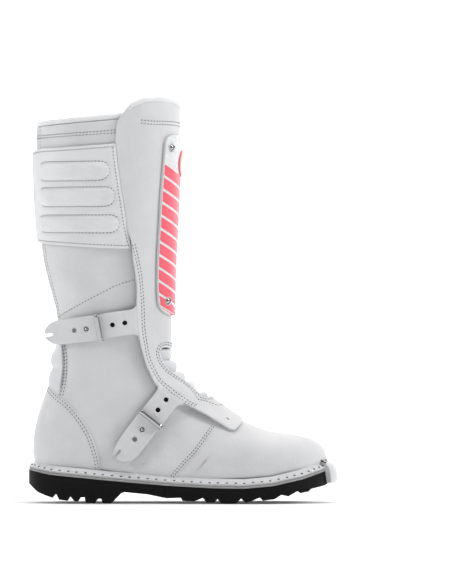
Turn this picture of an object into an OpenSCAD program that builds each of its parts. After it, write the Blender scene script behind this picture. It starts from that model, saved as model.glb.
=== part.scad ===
// Tall leather off-road riding boot for the right foot.
// +X points to the toe, +Z up, -Y to the outer (lateral) side of the foot.
// The origin is on the ground, under the middle of the boot.

/* [Boot] */
// Length of the outsole from heel to toe
boot_length = 310; // [260:1:372]
// Height from the ground to the top of the front lip
boot_height = 404; // [330:1:485]
// Width of the sole at the ball of the foot
ball_width = 106; // [88:1:127]
// Width of the shaft at the top
calf_width = 124; // [104:1:149]

/* [Upper] */
// Thickness of the outer leather
leather = 2.4; // [1.8:0.1:2.9]
// Thickness of the lining
lining = 3.2; // [2:0.1:4]
// Gap between two layers that are sewn or glued together
layer_gap = 0.5; // [0.4:0.05:0.6]
// Thickness of the overlaid panels
overlay = 2; // [1.4:0.1:2.4]
// How far the free edge of the front panel stands off the shaft
edge_lift = 4.2; // [4:0.1:5.5]
// Number of rolls in the instep bellows
roll_count = 5; // [3:1:7]
// Depth of the bellows rolls
roll_depth = 4; // [2:0.5:5]

/* [Sole] */
// Thickness of the midsole under the upper
midsole_thickness = 2.4; // [1.6:0.1:2.8]
// Height of the welt above the midsole
welt_height = 4.4; // [3:0.1:5.5]
// Width of the welt around the upper
welt_width = 5; // [4:0.1:5.5]
// Gap between the heel block and the forefoot block
sole_split = 0.6; // [0.4:0.1:2]

/* [Toe guard] */
// Thickness of the toe guard in front of the sole
guard_thickness = 9; // [6:0.5:11]
// Number of screws in the toe guard
guard_screws = 3; // [3:1:5]
// Diameter of the screw heads of the toe guard
guard_screw_d = 6; // [4:0.5:7]

/* [Straps and buckles] */
// Width of the straps
strap_width = 25; // [20:0.5:27]
// Thickness of the straps
strap_thickness = 2.4; // [1.8:0.1:3]
// Diameter of the strap holes
hole_d = 4.5; // [3.5:0.1:5.4]
// Diameter of the buckle roller
roller_d = 5.4; // [4.5:0.1:6.5]
// Diameter of the pin inside the roller
roller_pin_d = 2.4; // [2:0.1:3]
// Radial clearance of the roller on its pin
roller_clear = 0.05; // [0.03:0.01:0.1]
// Thickness of the sheet metal of the buckles
sheet_metal = 1.2; // [0.8:0.1:1.3]

/* [Shin plate] */
// Thickness of the shin plate
plate_thickness = 3; // [2:0.1:4]
// Number of slanted bands on the shin plate
stripe_count = 11; // [5:1:12]
// Vertical distance from one band to the next
stripe_pitch = 13; // [11:0.5:13]
// Clear height between two bands
stripe_gap = 2.5; // [2:0.5:5]
// Diameter of the round badge
badge_d = 27; // [20:1:30]
// Diameter of the shin plate screw heads
shin_screw_d = 9; // [6:0.5:10]

/* [Calf flap] */
// Thickness of the calf flap
flap_thickness = 2.2; // [1.6:0.1:2.6]
// Number of padded cells on the calf flap
pad_count = 3; // [2:1:4]
// Height of the padded cells above the flap
pad_thickness = 1.5; // [1:0.1:2.5]

/* [Hidden] */

// Scale of the three axes against the size that the outlines below are written for
kx = boot_length / 310;
kf = ball_width / 106;
kc = calf_width / 124;
feather_z = 40;
kz = (boot_height - feather_z) / (404 - feather_z);

// A side-view point [x, z] of the outlines, in the size asked for
function sv(p) = [p[0] * kx, p[1] > feather_z ? feather_z + (p[1] - feather_z) * kz : p[1]];
function svs(list) = [for (p = list) sv(p)];
function lerp(a, b, u) = a + (b - a) * u;
function steps(a, b, n) = [for (i = [0:n]) lerp(a, b, i / n)];
function unit(v) = v / norm(v);

// Smooth closed curve through a few points
function spline4(a, b, c, d, u) =
    0.5 * (2 * b + (c - a) * u + (2 * a - 5 * b + 4 * c - d) * u * u
    + (3 * b - a - 3 * c + d) * u * u * u);
function smooth_loop(p, n) = [for (i = [0:len(p) - 1], k = [0:n - 1])
    let (m = len(p)) spline4(p[(i + m - 1) % m], p[i], p[(i + 1) % m], p[(i + 2) % m], k / n)];
// Closed loop moved inwards by a distance (the loop runs clockwise seen from above)
function inset(p, m) = [for (i = [0:len(p) - 1])
    let (n = len(p), e = unit(p[(i + 1) % n] - p[(i + n - 1) % n])) p[i] + m * [e[1], -e[0]]];

// ---- The sole ----
// Top line of the rubber, seen from the side
rubber_line = svs([[-154, 33], [-132, 28.5], [-102, 25.5], [-71, 22.5], [-18, 18], [28, 15.5],
    [60, 15], [89, 17.5], [119, 24], [145, 32.5], [160, 38]]);
function rubber_top(x) = lookup(x, rubber_line);
welt_base = midsole_thickness + 0.3;
welt_top = welt_base + welt_height;
upper_floor = welt_base + 2.6;

// Outline of the sole seen from above
sole_outline = [for (p = [[-154, 0], [-150.5, 18], [-139, 32.5], [-118, 39.5], [-95, 40.5],
    [-50, 40], [-5, 42.5], [40, 49], [74, 53], [100, 51.5], [118, 46], [133, 36.5], [142, 25],
    [145.5, 9], [143.5, -8], [135.5, -24.5], [122, -38], [104, -47.5], [76, -53], [40, -51.5],
    [-5, -45.5], [-50, -42], [-95, -41], [-118, -39.5], [-139, -32.5], [-150.5, -18]])
    [p[0] * kx, p[1] * kf]];
sole_loop = smooth_loop(sole_outline, 2);
inner_loop = inset(sole_loop, welt_width);

module side_slab(points, half = 70) {
    rotate([90, 0, 0]) translate([0, 0, -half * kf])
        linear_extrude(2 * half * kf) polygon(points);
}

// The same line carried on past the heel
long_line = concat([rubber_line[0] - [5, 0]], rubber_line);
// Slab between two lines that run a fixed height above the rubber
function follow(h0, h1) = concat(
    [for (p = long_line) p + [0, h0]],
    [for (i = [len(long_line) - 1:-1:0]) long_line[i] + [0, h1]]);

module sole_layer(loop, h0, h1) {
    intersection() {
        linear_extrude(80) polygon(loop);
        side_slab(follow(h0, h1));
    }
}

seam_x = -17.5 * kx;
heel_lugs = [[-153.5, 19.5], [-145, 11.5], [-137, 8.2], [-129.5, 5.7], [-126, 9.6], [-123, 4],
    [-114.5, 2.9], [-112, 7.5], [-108, 2.6], [-104, 2.3], [-101.5, 6.5], [-97.5, 6.3],
    [-96.5, 1.2], [-87.5, 0], [-84, 5], [-81, 5], [-79.5, 0], [-71, 0], [-61, 10.5],
    [-57.5, 11.5], [-34.5, 9.2], [-18.6, 6]];
forefoot_lugs = [[-15.5, 5.5], [-2, 6], [0, 3], [11.5, 2.5], [20, 6], [23.5, 1.4], [31.5, 1.4],
    [34.5, 5], [38.5, 0], [53, 0], [58, 5.5], [62.5, 1.2], [68, 2.8], [76.5, 6.5], [79.5, 3.3],
    [91.5, 4.8], [98, 9], [105, 7.5], [114, 12.5], [117, 10.5], [125.5, 12], [127.5, 14.5],
    [142, 17.6], [145.5, 19.6]];

module outsole_heel() {
    color([0.08, 0.08, 0.085]) intersection() {
        linear_extrude(80) polygon(sole_loop);
        side_slab(concat([for (p = heel_lugs) [p[0] * kx, p[1]]],
            [[seam_x - sole_split / 2, 5.9], [seam_x - sole_split / 2, rubber_top(seam_x) - 0.4]],
            [for (i = [5:-1:0]) if (long_line[i][0] < seam_x - 1) long_line[i]],
            [[-159 * kx, 19.5]]));
    }
}

module outsole_forefoot() {
    color([0.08, 0.08, 0.085]) intersection() {
        linear_extrude(80) polygon(sole_loop);
        side_slab(concat([[seam_x + sole_split / 2, 5.9]],
            [for (p = forefoot_lugs) [p[0] * kx, p[1]]],
            [[150 * kx, 20]],
            [for (i = [10:-1:5]) if (rubber_line[i][0] > seam_x + 1) rubber_line[i]],
            [[seam_x + sole_split / 2, rubber_top(seam_x) - 0.4]]));
    }
}

module midsole() {
    color([0.8, 0.8, 0.79]) sole_layer(sole_loop, 0.05, midsole_thickness);
}

module welt() {
    color([0.86, 0.86, 0.85]) difference() {
        sole_layer(sole_loop, welt_base, welt_top);
        translate([0, 0, -1]) linear_extrude(90) polygon(inner_loop);
    }
}

// ---- The form of the upper ----
// Sections from the toe to the top. Each has its front end [x, z], its back end [x, z], its
// half width, where along it the width lies, and how square its back half is.
foot_ribs = [
    [143.4, 45.5, 141, 39.6, 4, 0.5, 3],
    [142, 51.5, 137, 0, 14, 0.45, 3.5],
    [137, 58.5, 130, 0, 24, 0.42, 4.5],
    [127, 64, 118.5, 0, 33, 0.4, 6],
    [111, 68, 103, 0, 40, 0.38, 7],
    [90, 71, 78, 0, 45.5, 0.36, 7],
    [66, 79, 40, 0, 46, 0.36, 7],
    [50, 88, -5, 0, 41.5, 0.36, 7],
    [38.5, 96, -50, 0, 37.5, 0.38, 7],
    [31, 101.5, -95, 0, 35.5, 0.4, 6],
    [27.5, 104, -126, 0, 35.2, 0.42, 5],
    [26, 105.5, -143, 38.5, 35.2, 0.44, 4],
    [25, 106.5, -148.5, 50, 35.2, 0.45, 3.2],
    [24, 107.5, -147.5, 68, 35.2, 0.46, 3],
    [22.3, 108.3, -143, 88, 35.2, 0.47, 2.8],
    [20.3, 108.9, -137.5, 105, 35.2, 0.48, 2.6],
    [17.3, 110.9, -133, 117, 35.2, 0.5, 2.5]];
shaft_ribs = [
    [4.4, 121.6, -130, 128, 35.2, 0.5, 2.4],
    [-8, 136.6, -129, 142, 35.8, 0.5, 2.3],
    [-13.7, 153, -127, 155, 36.5, 0.5, 2.3],
    [-14, 170, -125, 172, 37.5, 0.5, 2.3],
    [-14, 187, -126.5, 190, 39.5, 0.5, 2.3],
    [-13.5, 206, -131, 208, 42.5, 0.5, 2.2],
    [-13, 226, -136, 226, 46, 0.5, 2.2],
    [-12, 250, -140.5, 248, 50, 0.5, 2.2],
    [-10.5, 280, -143, 276, 54.5, 0.5, 2.2],
    [-9, 312, -145, 306, 58.5, 0.5, 2.2],
    [-7.5, 343, -146, 336, 60.5, 0.5, 2.2],
    [-6, 370, -146.5, 360, 61.5, 0.5, 2.2],
    [-5.5, 392, -146.5, 378, 62, 0.5, 2.2],
    [-5.5, 414, -146.5, 398, 62, 0.5, 2.2]];
s_foot = len(foot_ribs) - 1;
s_shaft = s_foot + 3;
s_top = s_foot + len(shaft_ribs);
ribs = [for (i = [0:s_top]) let (
        r = i <= s_foot ? foot_ribs[i] : shaft_ribs[i - s_foot - 1],
        k = lerp(kf, kc, max(0, min(1, (i - s_foot) / 8))),
        f = sv([r[0], r[1]]),
        b = sv([r[2], r[3]]))
    [f[0], f[1], b[0], r[3] == 0 ? rubber_top(b[0]) + upper_floor : b[1], r[4] * k, r[5], r[6]]];
front_power = 2.3;

function rib(s) = let (i = min(floor(s), s_top - 1)) lerp(ribs[i], ribs[i + 1], s - i);
// The toe bends inwards, towards the other foot
function bend(s) = 7 * kf * pow(max(0, 1 - s / 7), 2);

// Point of the upper: section s, angle t (0 front, 90 outer side, 180 back, -90 inner side)
// and distance d outside the leather's outer face
function skin(s, t, d = 0) = let (
        r = rib(s),
        f = [r[0], r[1]],
        b = [r[2], r[3]],
        l = norm(f - b),
        e = (f - b) / l,
        c = cos(t),
        k = c >= 0 ? front_power : r[6],
        a = pow(abs(c), 2 / k),
        w = pow(abs(sin(t)), 2 / k),
        al = c >= 0 ? r[5] * l + ((1 - r[5]) * l + d) * a : r[5] * l - (r[5] * l + d) * a)
    [b[0] + e[0] * al, bend(s) - sign(sin(t)) * (r[4] + d) * w, b[1] + e[1] * al];

// Where a side-view point lies on the upper, as [s, t] on the outer side
function over(s, p) = let (r = rib(s)) cross([r[0] - r[2], r[1] - r[3]], [p[0] - r[2], p[1] - r[3]]);
function find_s(p, a, b, n) = n == 0 ? (a + b) / 2 : let (m = (a + b) / 2)
    over(m, p) > 0 ? find_s(p, m, b, n - 1) : find_s(p, a, m, n - 1);
function angle_at(s, p) = let (
        r = rib(s),
        e = [r[0] - r[2], r[1] - r[3]],
        f = ([p[0] - r[2], p[1] - r[3]] * e) / (e * e),
        u = f >= r[5] ? min(1, (f - r[5]) / (1 - r[5])) : min(1, (r[5] - f) / r[5]))
    f >= r[5] ? acos(pow(u, front_power / 2)) : 180 - acos(pow(u, r[6] / 2));
function st(p) = let (s = find_s(p, 0, s_top, 24)) [s, angle_at(s, p)];
// The angle at which section s crosses a side-view line
function edge_t(s, line) = let (hits = [for (i = [0:len(line) - 2])
        let (a = over(s, line[i]), b = over(s, line[i + 1]))
        if (a * b <= 0 && a != b) lerp(line[i], line[i + 1], a / (a - b))])
    angle_at(s, hits[0]);
function spot(p, d = 0) = let (q = st(p)) skin(q[0], q[1], d);

// Closed shell over a grid of [s, t], from d0 to d1 outside the leather
function depth(d, i, j) = is_list(d) ? d[i][j] : d;
module shell(g, d0, d1, ring = false) {
    n = len(g);
    m = len(g[0]);
    cells = ring ? m : m - 1;
    points = concat(
        [for (i = [0:n - 1], j = [0:m - 1]) skin(g[i][j][0], g[i][j][1], depth(d1, i, j))],
        [for (i = [0:n - 1], j = [0:m - 1]) skin(g[i][j][0], g[i][j][1], depth(d0, i, j))]);
    function o(i, j) = i * m + j % m;
    function q(i, j) = n * m + i * m + j % m;
    faces = concat(
        [for (i = [0:n - 2], j = [0:cells - 1], k = [0, 1]) k == 0
            ? [o(i, j), o(i, j + 1), o(i + 1, j + 1)] : [o(i, j), o(i + 1, j + 1), o(i + 1, j)]],
        [for (i = [0:n - 2], j = [0:cells - 1], k = [0, 1]) k == 0
            ? [q(i, j), q(i + 1, j + 1), q(i, j + 1)] : [q(i, j), q(i + 1, j), q(i + 1, j + 1)]],
        [for (j = [0:cells - 1], k = [0, 1]) k == 0
            ? [o(0, j), q(0, j), q(0, j + 1)] : [o(0, j), q(0, j + 1), o(0, j + 1)]],
        [for (j = [0:cells - 1], k = [0, 1]) k == 0
            ? [o(n - 1, j), q(n - 1, j + 1), q(n - 1, j)]
            : [o(n - 1, j), o(n - 1, j + 1), q(n - 1, j + 1)]],
        ring ? [] : [for (i = [0:n - 2], k = [0, 1]) k == 0
            ? [o(i, 0), o(i + 1, 0), q(i + 1, 0)] : [o(i, 0), q(i + 1, 0), q(i, 0)]],
        ring ? [] : [for (i = [0:n - 2], k = [0, 1]) k == 0
            ? [o(i, m - 1), q(i + 1, m - 1), o(i + 1, m - 1)]
            : [o(i, m - 1), q(i, m - 1), q(i + 1, m - 1)]]);
    polyhedron(points, faces);
}

// Grid with rows at the sections in list and columns from angle ta to angle tb
function grid(list, ta, tb, m) = [for (s = list) [for (j = [0:m]) [s, lerp(ta, tb, j / m)]]];
function ring(list, m) = [for (s = list) [for (j = [0:m - 1]) [s, j * 360 / m]]];
// All whole sections between a and b, with both ends
function stations(a, b) = concat([a], [for (i = [floor(a) + 1:ceil(b) - 1]) i], [b]);

// Grid along a side-view centreline, with its width across
function along(line, u) = let (n = len(line) - 1, i = min(floor(u * n), n - 1))
    lerp(line[i], line[i + 1], u * n - i);
function way(line, u) = unit(along(line, min(1, u + 0.02)) - along(line, max(0, u - 0.02)));
function band(line, width, n, m, ua = 0, ub = 1, taper = 0) = [for (i = [0:n])
    let (u = lerp(ua, ub, i / n), c = along(line, u), e = way(line, u),
        w = width * (1 - taper * pow(max(0, i - n + 2) / 2, 2)))
    [for (j = [0:m]) st(c + [-e[1], e[0]] * w * (j / m - 0.5))]];

// Stands its children on the outer side at a side-view point: z outwards, x along angle a
module stand(p, a, d = 0) {
    u = [cos(a), sin(a)];
    v = [-sin(a), cos(a)];
    ex = unit(spot(p + u, d) - spot(p - u, d));
    ev = spot(p + v, d) - spot(p - v, d);
    n = unit(cross(ex, ev));
    ey = cross(n, ex);
    c = spot(p, d);
    multmatrix([[ex[0], ey[0], n[0], c[0]], [ex[1], ey[1], n[1], c[1]],
        [ex[2], ey[2], n[2], c[2]], [0, 0, 0, 1]]) children();
}

// Depths of the layers
lining_out = -leather - layer_gap;
lining_in = lining_out - lining;
over_in = layer_gap;
over_out = over_in + overlay;
strap_in = edge_lift;
strap_out = strap_in + strap_thickness;

// Angles where the parts of the upper meet
sole_t = 142;
tongue_t = 52;
seam_t = 0.7;
split = 0.04;

// ---- Foot ----
s_vamp = 7.25;

module insole_board() {
    color("burlywood") shell(grid(stations(1.3, 10), sole_t, 360 - sole_t, 5),
        lining_in, lining_out);
}

// The shank lies between the upper and the midsole
shank_in = 0.5;
module shank() {
    color("silver") shell(grid(stations(6, 9.4), 168, 192, 2), shank_in, shank_in + 1.6);
}

module footbed() {
    color("dimgray") shell(grid(stations(1.8, 9.8), sole_t + 6, 354 - sole_t, 5),
        lining_in - 4.2, lining_in - 0.5);
}

module vamp() {
    color("whitesmoke") shell(grid(stations(0, s_vamp), -160, 160, 34), -leather, 0);
}

module toe_puff() {
    color("tan") shell(grid([1.3, 2, 3, 3.6], -sole_t + 2, sole_t - 2, 24), lining_in, lining_out);
}

module foot_quarter() {
    color("whitesmoke") shell(grid(stations(s_vamp + split, s_foot), -180, 180 - 360 / 34, 33),
        -leather, 0, true);
}

counter_line = svs([[-134, 119], [-126, 109.5], [-112.5, 98.5], [-102, 86], [-94, 73.6],
    [-88, 60], [-83.4, 44.5], [-79, 24]]);
module heel_counter() {
    rows = concat([10.6], stations(11, 15.6));
    color([0.92, 0.92, 0.92]) shell([for (s = rows) let (t = edge_t(s, counter_line))
            [for (j = [0:20]) [s, lerp(t, 360 - t, j / 20)]]],
        over_in + 0.4, over_out + 0.4);
}

module heel_stiffener() {
    color("tan") shell(grid(stations(10.3, 14.5), 112, 248, 14), lining_in, lining_out);
}

module foot_lining() {
    color("gainsboro") {
        shell(grid(stations(3.6 + split, 10), -sole_t + 2, sole_t - 2, 24),
            lining_in, lining_out);
        shell(grid(stations(10 + 0.3, 14.5), -110, 110, 20), lining_in, lining_out);
        shell(grid([14.5 + 0.06, 15, s_foot], -180, 170, 35), lining_in, lining_out, true);
    }
}

// Front panel: its free edge on the outer side, from the lip down to its tip on the vamp
panel_edge = svs([[-60, 420], [-62, 383.5], [-66, 369.5], [-66.6, 357.5], [-65, 343.5],
    [-62, 320.5], [-57.4, 290], [-54.3, 271.5], [-50, 259.5], [-49.7, 244], [-46.7, 229],
    [-45, 213.5], [-46, 199.7], [-45.5, 182], [-43.5, 166], [-37.5, 143], [-31.4, 128],
    [-24.5, 115.5], [-10, 105], [10, 95], [31.4, 86], [51.3, 76], [59, 80]]);
// Height of the panel above the leather across its width: it rises towards its free edge
function lift(u) = edge_lift * pow(max(0, u * 5 - 4), 2);
panel_cols = 16;
function panel_u(j) = j < 9 ? j / 11 : lerp(8 / 11, 1, (j - 8) / (panel_cols - 8));
function panel_grid(list, ta) = [for (s = list) let (t = edge_t(s, panel_edge))
    [for (j = [0:panel_cols]) [s, lerp(ta, t, panel_u(j))]]];
panel_in = over_in + 0.25;
function rise(j) = max(0, lift(panel_u(j)) - panel_in);
module panel(list, ta) {
    g = panel_grid(list, ta);
    d = [for (row = g) [for (j = [0:panel_cols]) panel_in + rise(j)]];
    shell(g, d, [for (row = d) [for (v = row) v + overlay]]);
}

module instep_panel() {
    color("whitesmoke") panel(concat([6.5, 6.8], stations(7.2, 9), [11, 13, s_foot]), -38);
}

// ---- Ankle, which folds as the shaft flexes ----
s_low = s_foot + split;
s_high = s_shaft - split;
fold_rows = stations(s_low, s_high);
roll_t = 44;

module ankle_bellows() {
    n = roll_count * 4;
    g = [for (i = [0:n]) [for (j = [0:12])
        [lerp(s_low, s_high, i / n), lerp(-roll_t, roll_t, j / 12)]]];
    rolls = [for (i = [0:n]) [for (j = [0:12])
        roll_depth * (1 - pow(abs(j / 6 - 1), 4)) * (abs(sin(i * 45)) - 0.6)]];
    color("whitesmoke") shell(g, -leather, rolls);
}

module ankle_panel() {
    g = [for (s = fold_rows) [for (j = [0:3])
        [s, lerp(roll_t + 2, edge_t(s, panel_edge), j / 3)]]];
    color("whitesmoke") shell(g, [for (s = fold_rows) [over_in, over_in, over_in + 1, edge_lift - over_in]],
        [for (s = fold_rows) [over_out, over_out, over_out + 1, edge_lift + overlay - over_in]]);
}

module achilles_gusset() {
    color([0.88, 0.88, 0.88]) shell(grid(fold_rows, 118, 242, 12), -leather, 0);
}

module ankle_sides() {
    for (m = [0, 1]) color("whitesmoke") shell(grid(fold_rows,
        m == 0 ? roll_t + seam_t : 242 + seam_t, m == 0 ? 118 - seam_t : 360 - roll_t - seam_t, 8),
        -leather, 0);
}

module ankle_lining() {
    color("gainsboro") shell(ring(fold_rows, 36), lining_in, lining_out, true);
}

// ---- Shaft ----
// Top line of the collar and of the front lip, as section against angle
function top_table(line) = [for (p = svs(line)) let (q = st(p)) [q[1], q[0]]];
lip_top = top_table([[-5.6, 396], [-13, 402], [-25, 404], [-48, 399], [-57, 392], [-63, 384]]);
collar_top = top_table([[-5.6, 388], [-35, 386], [-62, 383.5], [-90, 381], [-120, 378.5],
    [-146.4, 376.5]]);
function mirror_t(t) = t > 180 ? 360 - t : abs(t);

// Grid from the ankle up to a top line
function tall(list, top, ta, tb, m) = [for (i = [0:len(list) - 1]) [for (j = [0:m])
    let (t = lerp(ta, tb, j / m), u = (list[i] - list[0]) / (list[len(list) - 1] - list[0]))
    [lerp(list[0], lookup(mirror_t(t), top), u), t]]];

module shaft_quarter() {
    color("whitesmoke") shell(tall(stations(s_shaft, s_top - 1), collar_top,
        tongue_t, 360 - tongue_t, 26), -leather, 0);
}

module tongue_gusset() {
    color("whitesmoke") shell(tall(stations(s_shaft, s_top - 1), collar_top,
        -tongue_t + seam_t, tongue_t - seam_t, 10), -leather, 0);
}

module shaft_lining() {
    color("gainsboro") shell(tall(stations(s_shaft, s_top - 1), collar_top,
        -180, 170, 35), lining_in, lining_out, true);
}

// Round rim that runs over the top edge of the leather and the lining
module rim(top, ta, tb, m, d, r, up, closed = false) {
    sides = 8;
    pts = [for (j = [0:m - (closed ? 1 : 0)]) let (
            t = lerp(ta, tb, j / m),
            s = lookup(mirror_t(t), top),
            c = skin(s, t, d) + [0, 0, up],
            w = unit(skin(s, t, d + 1) - skin(s, t, d)))
        for (k = [0:sides - 1]) c + r * (w * cos(k * 45) + [0, 0, 1] * sin(k * 45))];
    n = len(pts) / sides;
    last = closed ? n - 1 : n - 2;
    faces = concat(
        [for (i = [0:last], k = [0:sides - 1], h = [0, 1]) let (a = i * sides + k,
            b = i * sides + (k + 1) % sides, c = ((i + 1) % n) * sides + k,
            d2 = ((i + 1) % n) * sides + (k + 1) % sides) h == 0 ? [a, c, d2] : [a, d2, b]],
        closed ? [] : [[for (k = [0:sides - 1]) k],
            [for (k = [sides - 1:-1:0]) (n - 1) * sides + k]]);
    polyhedron(pts, faces);
}

rim_r = (leather + lining + layer_gap) / 2;
module collar_binding() {
    color("white") rim(collar_top, -180, 180, 40, -rim_r, rim_r, rim_r + 0.4, true);
}

lip_t = 66;
// Above this section the panel's edge is sewn down beside the calf flap
s_sewn = 24.5;
module shin_panel() {
    list = stations(s_shaft, s_top - 1);
    color("whitesmoke") shell([for (i = [0:len(list) - 1]) let (t1 = edge_t(list[i], panel_edge))
            [for (j = [0:panel_cols]) let (t = lerp(-lip_t, t1, panel_u(j)),
                u = (list[i] - list[0]) / (list[len(list) - 1] - list[0]))
            [lerp(list[0], lookup(abs(t), lip_top), u), t]]],
        [for (s = list) [for (j = [0:panel_cols]) panel_in + (s < s_sewn ? rise(j) : 0)]],
        [for (s = list) [for (j = [0:panel_cols])
            panel_in + overlay + (s < s_sewn ? rise(j) : 0)]]);
}

module lip_binding() {
    color("white") rim(lip_top, -lip_t, lip_t, 20, panel_in + overlay / 2, 1.5, 1.9);
}

// ---- Shin plate ----
plate_in = panel_in + overlay + layer_gap;
plate_out = plate_in + plate_thickness;
plate_edge = svs([[-19, 380], [-19, 363.5], [-20.6, 339], [-23, 305.5], [-24.5, 275],
    [-26, 244], [-26, 206], [-23, 193.6], [-18.5, 187], [-14.2, 180]]);
plate_rows = [21, 21.4, 22, 23, 24, 25, 26, 27, 27.95];

module shin_plate() {
    color("white") shell([for (s = plate_rows) let (t = edge_t(s, plate_edge))
        [for (j = [0:12]) [s, lerp(-t, t, j / 12)]]], plate_in, plate_out);
}

// Bands that run down from both edges of the plate to the middle of the shin
stripe_drop = 13.5;
stripe_t = 40;
stripe_top = 338;
module shin_stripes() {
    h = stripe_pitch - stripe_gap;
    for (i = [0:stripe_count - 1]) {
        z = stripe_top - i * stripe_pitch;
        g = [for (k = [2:-1:0]) [for (j = [0:10]) let (t = stripe_t * (j / 5 - 1),
            q = st(sv([-16, max(188, z - h * k / 2 - stripe_drop * (1 - abs(t) / stripe_t))
                + (k == 0 ? 0.1 : 0)])))
            [q[0], t]]];
        if (z - h - stripe_drop > 180) color("crimson") shell(g, plate_out + 0.3, plate_out + 0.8);
    }
}

// Round badge that follows the curve of the plate
badge_z = 339;
badge_thickness = 0.6;
function badge_at(r, a) = let (
        s = st(sv([-12, badge_z + r * sin(a)]))[0],
        y = r * cos(a))
    [s, -sign(y) * asin(pow(abs(y) / rib(s)[4], front_power / 2))];
module badge_ring(r0, r1) {
    shell([for (i = [0:2]) [for (k = [0:23]) badge_at(lerp(r0, r1, i / 2), k * 15)]],
        plate_out + 1, plate_out + 1 + badge_thickness, true);
}
module shin_badge() {
    r = badge_d / 2;
    color("crimson") badge_ring(r * 0.8, r);
    color("seagreen") badge_ring(r * 0.55, r * 0.78);
    color("white") badge_ring(0.4, r * 0.53);
}

// Slotted domed screws near the four corners of the plate
shin_spots = svs([[-10.9, 353.7], [-14.6, 201.5]]);
module shin_screws() {
    for (p = shin_spots, m = [0, 1]) mirror([0, m, 0]) stand(p, 0, plate_out)
        color("silver") translate([0, 0, 1.2]) difference() {
            cylinder(d1 = shin_screw_d, d2 = shin_screw_d * 0.75, h = 1.8, $fn = 48);
            translate([-shin_screw_d / 3, -0.6, 1.1]) cube([shin_screw_d * 2 / 3, 1.2, 2]);
        }
}

// ---- Toe guard ----
guard_x = 142;
guard_in = inset(sole_loop, -0.4);
guard_out = [for (p = inset(sole_loop, -0.42 * guard_thickness)) p + [0.58 * guard_thickness, 0]];
guard_seat = 41.2;
toe_corner = 26;

// Screws stand on the guard, round the toe
module guard_spots() {
    for (i = [0:guard_screws - 1]) let (k = toe_corner + round(2 * (i - (guard_screws - 1) / 2)),
        c = (guard_in[k] + guard_out[k]) / 2)
        translate([c[0], c[1], guard_seat]) children();
}
module toe_guard() {
    color([0.85, 0.86, 0.88]) difference() {
        intersection() {
            linear_extrude(60) polygon(guard_out);
            side_slab(concat(svs([[guard_x, 20], [145, 18.5]]),
                [for (p = [[-3, 23], [0, 29.5], [-2.5, 39], [-10.5, 43.6]])
                    [156 * kx + p[0], p[1]]], [[guard_x * kx, 34]]));
        }
        translate([0, 0, -1]) linear_extrude(90) polygon(guard_in);
        guard_spots() {
            cylinder(d = guard_screw_d + 0.3, h = 20, $fn = 40);
            translate([0, 0, -40]) cylinder(d = guard_screw_d * 0.5 + 0.1, h = 50, $fn = 32);
        }
    }
}
module toe_guard_screws() {
    color("silver") guard_spots() {
        translate([0, 0, 0.05]) cylinder(d = guard_screw_d, h = 2, $fn = 40);
        translate([0, 0, -14]) cylinder(d = guard_screw_d * 0.5, h = 15, $fn = 32);
    }
}

// ---- Straps and buckles ----
upper_line = svs([[-47.4, 181], [-60, 179.4], [-72, 177.3], [-86.5, 174.5], [-102, 172.3],
    [-117, 170], [-127, 168], [-136, 166]]);
lower_line = svs([[-15.2, 106.6], [-24, 95], [-33.5, 82], [-43, 69], [-51.5, 57], [-58, 48],
    [-63.5, 40.5]]);
upper_bar = sv([-83, 175.2]);
lower_bar = sv([-32, 84]);
upper_holes = svs([[-58, 179.5], [-70.7, 177.5], [-95.2, 173.4], [-108, 171.6]]);
lower_holes = svs([[-19, 101.5], [-25.6, 93], [-40.4, 73], [-48, 62.5]]);
upper_angle = 188;
lower_angle = 234;
stud_hole = 2;

module strap(line, holes, angle) {
    color("white") difference() {
        shell(band(line, strap_width, 15, 3, 0, 1, 0.35), strap_in, strap_out);
        for (p = holes) stand(p, angle, strap_in)
            translate([0, 0, -3]) cylinder(d = hole_d, h = strap_thickness + 6, $fn = 32);
    }
}

// Metal that the strap carries: a plate behind it, two cheeks and the roller pin
frame_in = strap_in - sheet_metal - 0.5;
cheek_y = strap_width / 2 + 1;
cheek_w = 7;
roller_gap = 1.5;
roller_z = strap_thickness + roller_gap + roller_d / 2;
module buckle_frame(bar, angle) {
    color("silver") {
        back = bar - 5 * [cos(angle), sin(angle)];
        end = bar + 19 * [cos(angle), sin(angle)];
        shell(band([back, bar, (bar + end) / 2, end], 2 * (cheek_y + sheet_metal), 8, 3),
            frame_in, frame_in + sheet_metal);
        stand(bar, angle, strap_in) {
            for (k = [-1, 1]) translate([-cheek_w / 2, k > 0 ? cheek_y : -cheek_y - sheet_metal,
                    -sheet_metal - 0.3])
                cube([cheek_w, sheet_metal, roller_z + roller_d / 2 + sheet_metal + 0.3]);
            translate([0, -cheek_y - 0.1, roller_z]) rotate([-90, 0, 0])
                cylinder(d = roller_pin_d, h = 2 * cheek_y + 0.2, $fn = 40);
        }
    }
}

module roller(bar, angle) {
    color("silver") stand(bar, angle, strap_in) translate([0, -cheek_y + 0.4, roller_z])
        rotate([-90, 0, 0]) difference() {
            cylinder(d = roller_d, h = 2 * cheek_y - 0.8, $fn = 48);
            translate([0, 0, -1]) cylinder(d = roller_pin_d + 2 * roller_clear, h = 2 * cheek_y + 2,
                $fn = 48);
        }
}

module stud(p, angle) {
    color("silver") stand(p, angle, strap_in) {
        cylinder(d = hole_d - 0.8, h = strap_thickness + 0.6, $fn = 32);
        translate([0, 0, strap_thickness + 0.35])
            cylinder(d1 = hole_d + 1.6, d2 = hole_d, h = 1.4, $fn = 32);
    }
}

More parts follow.
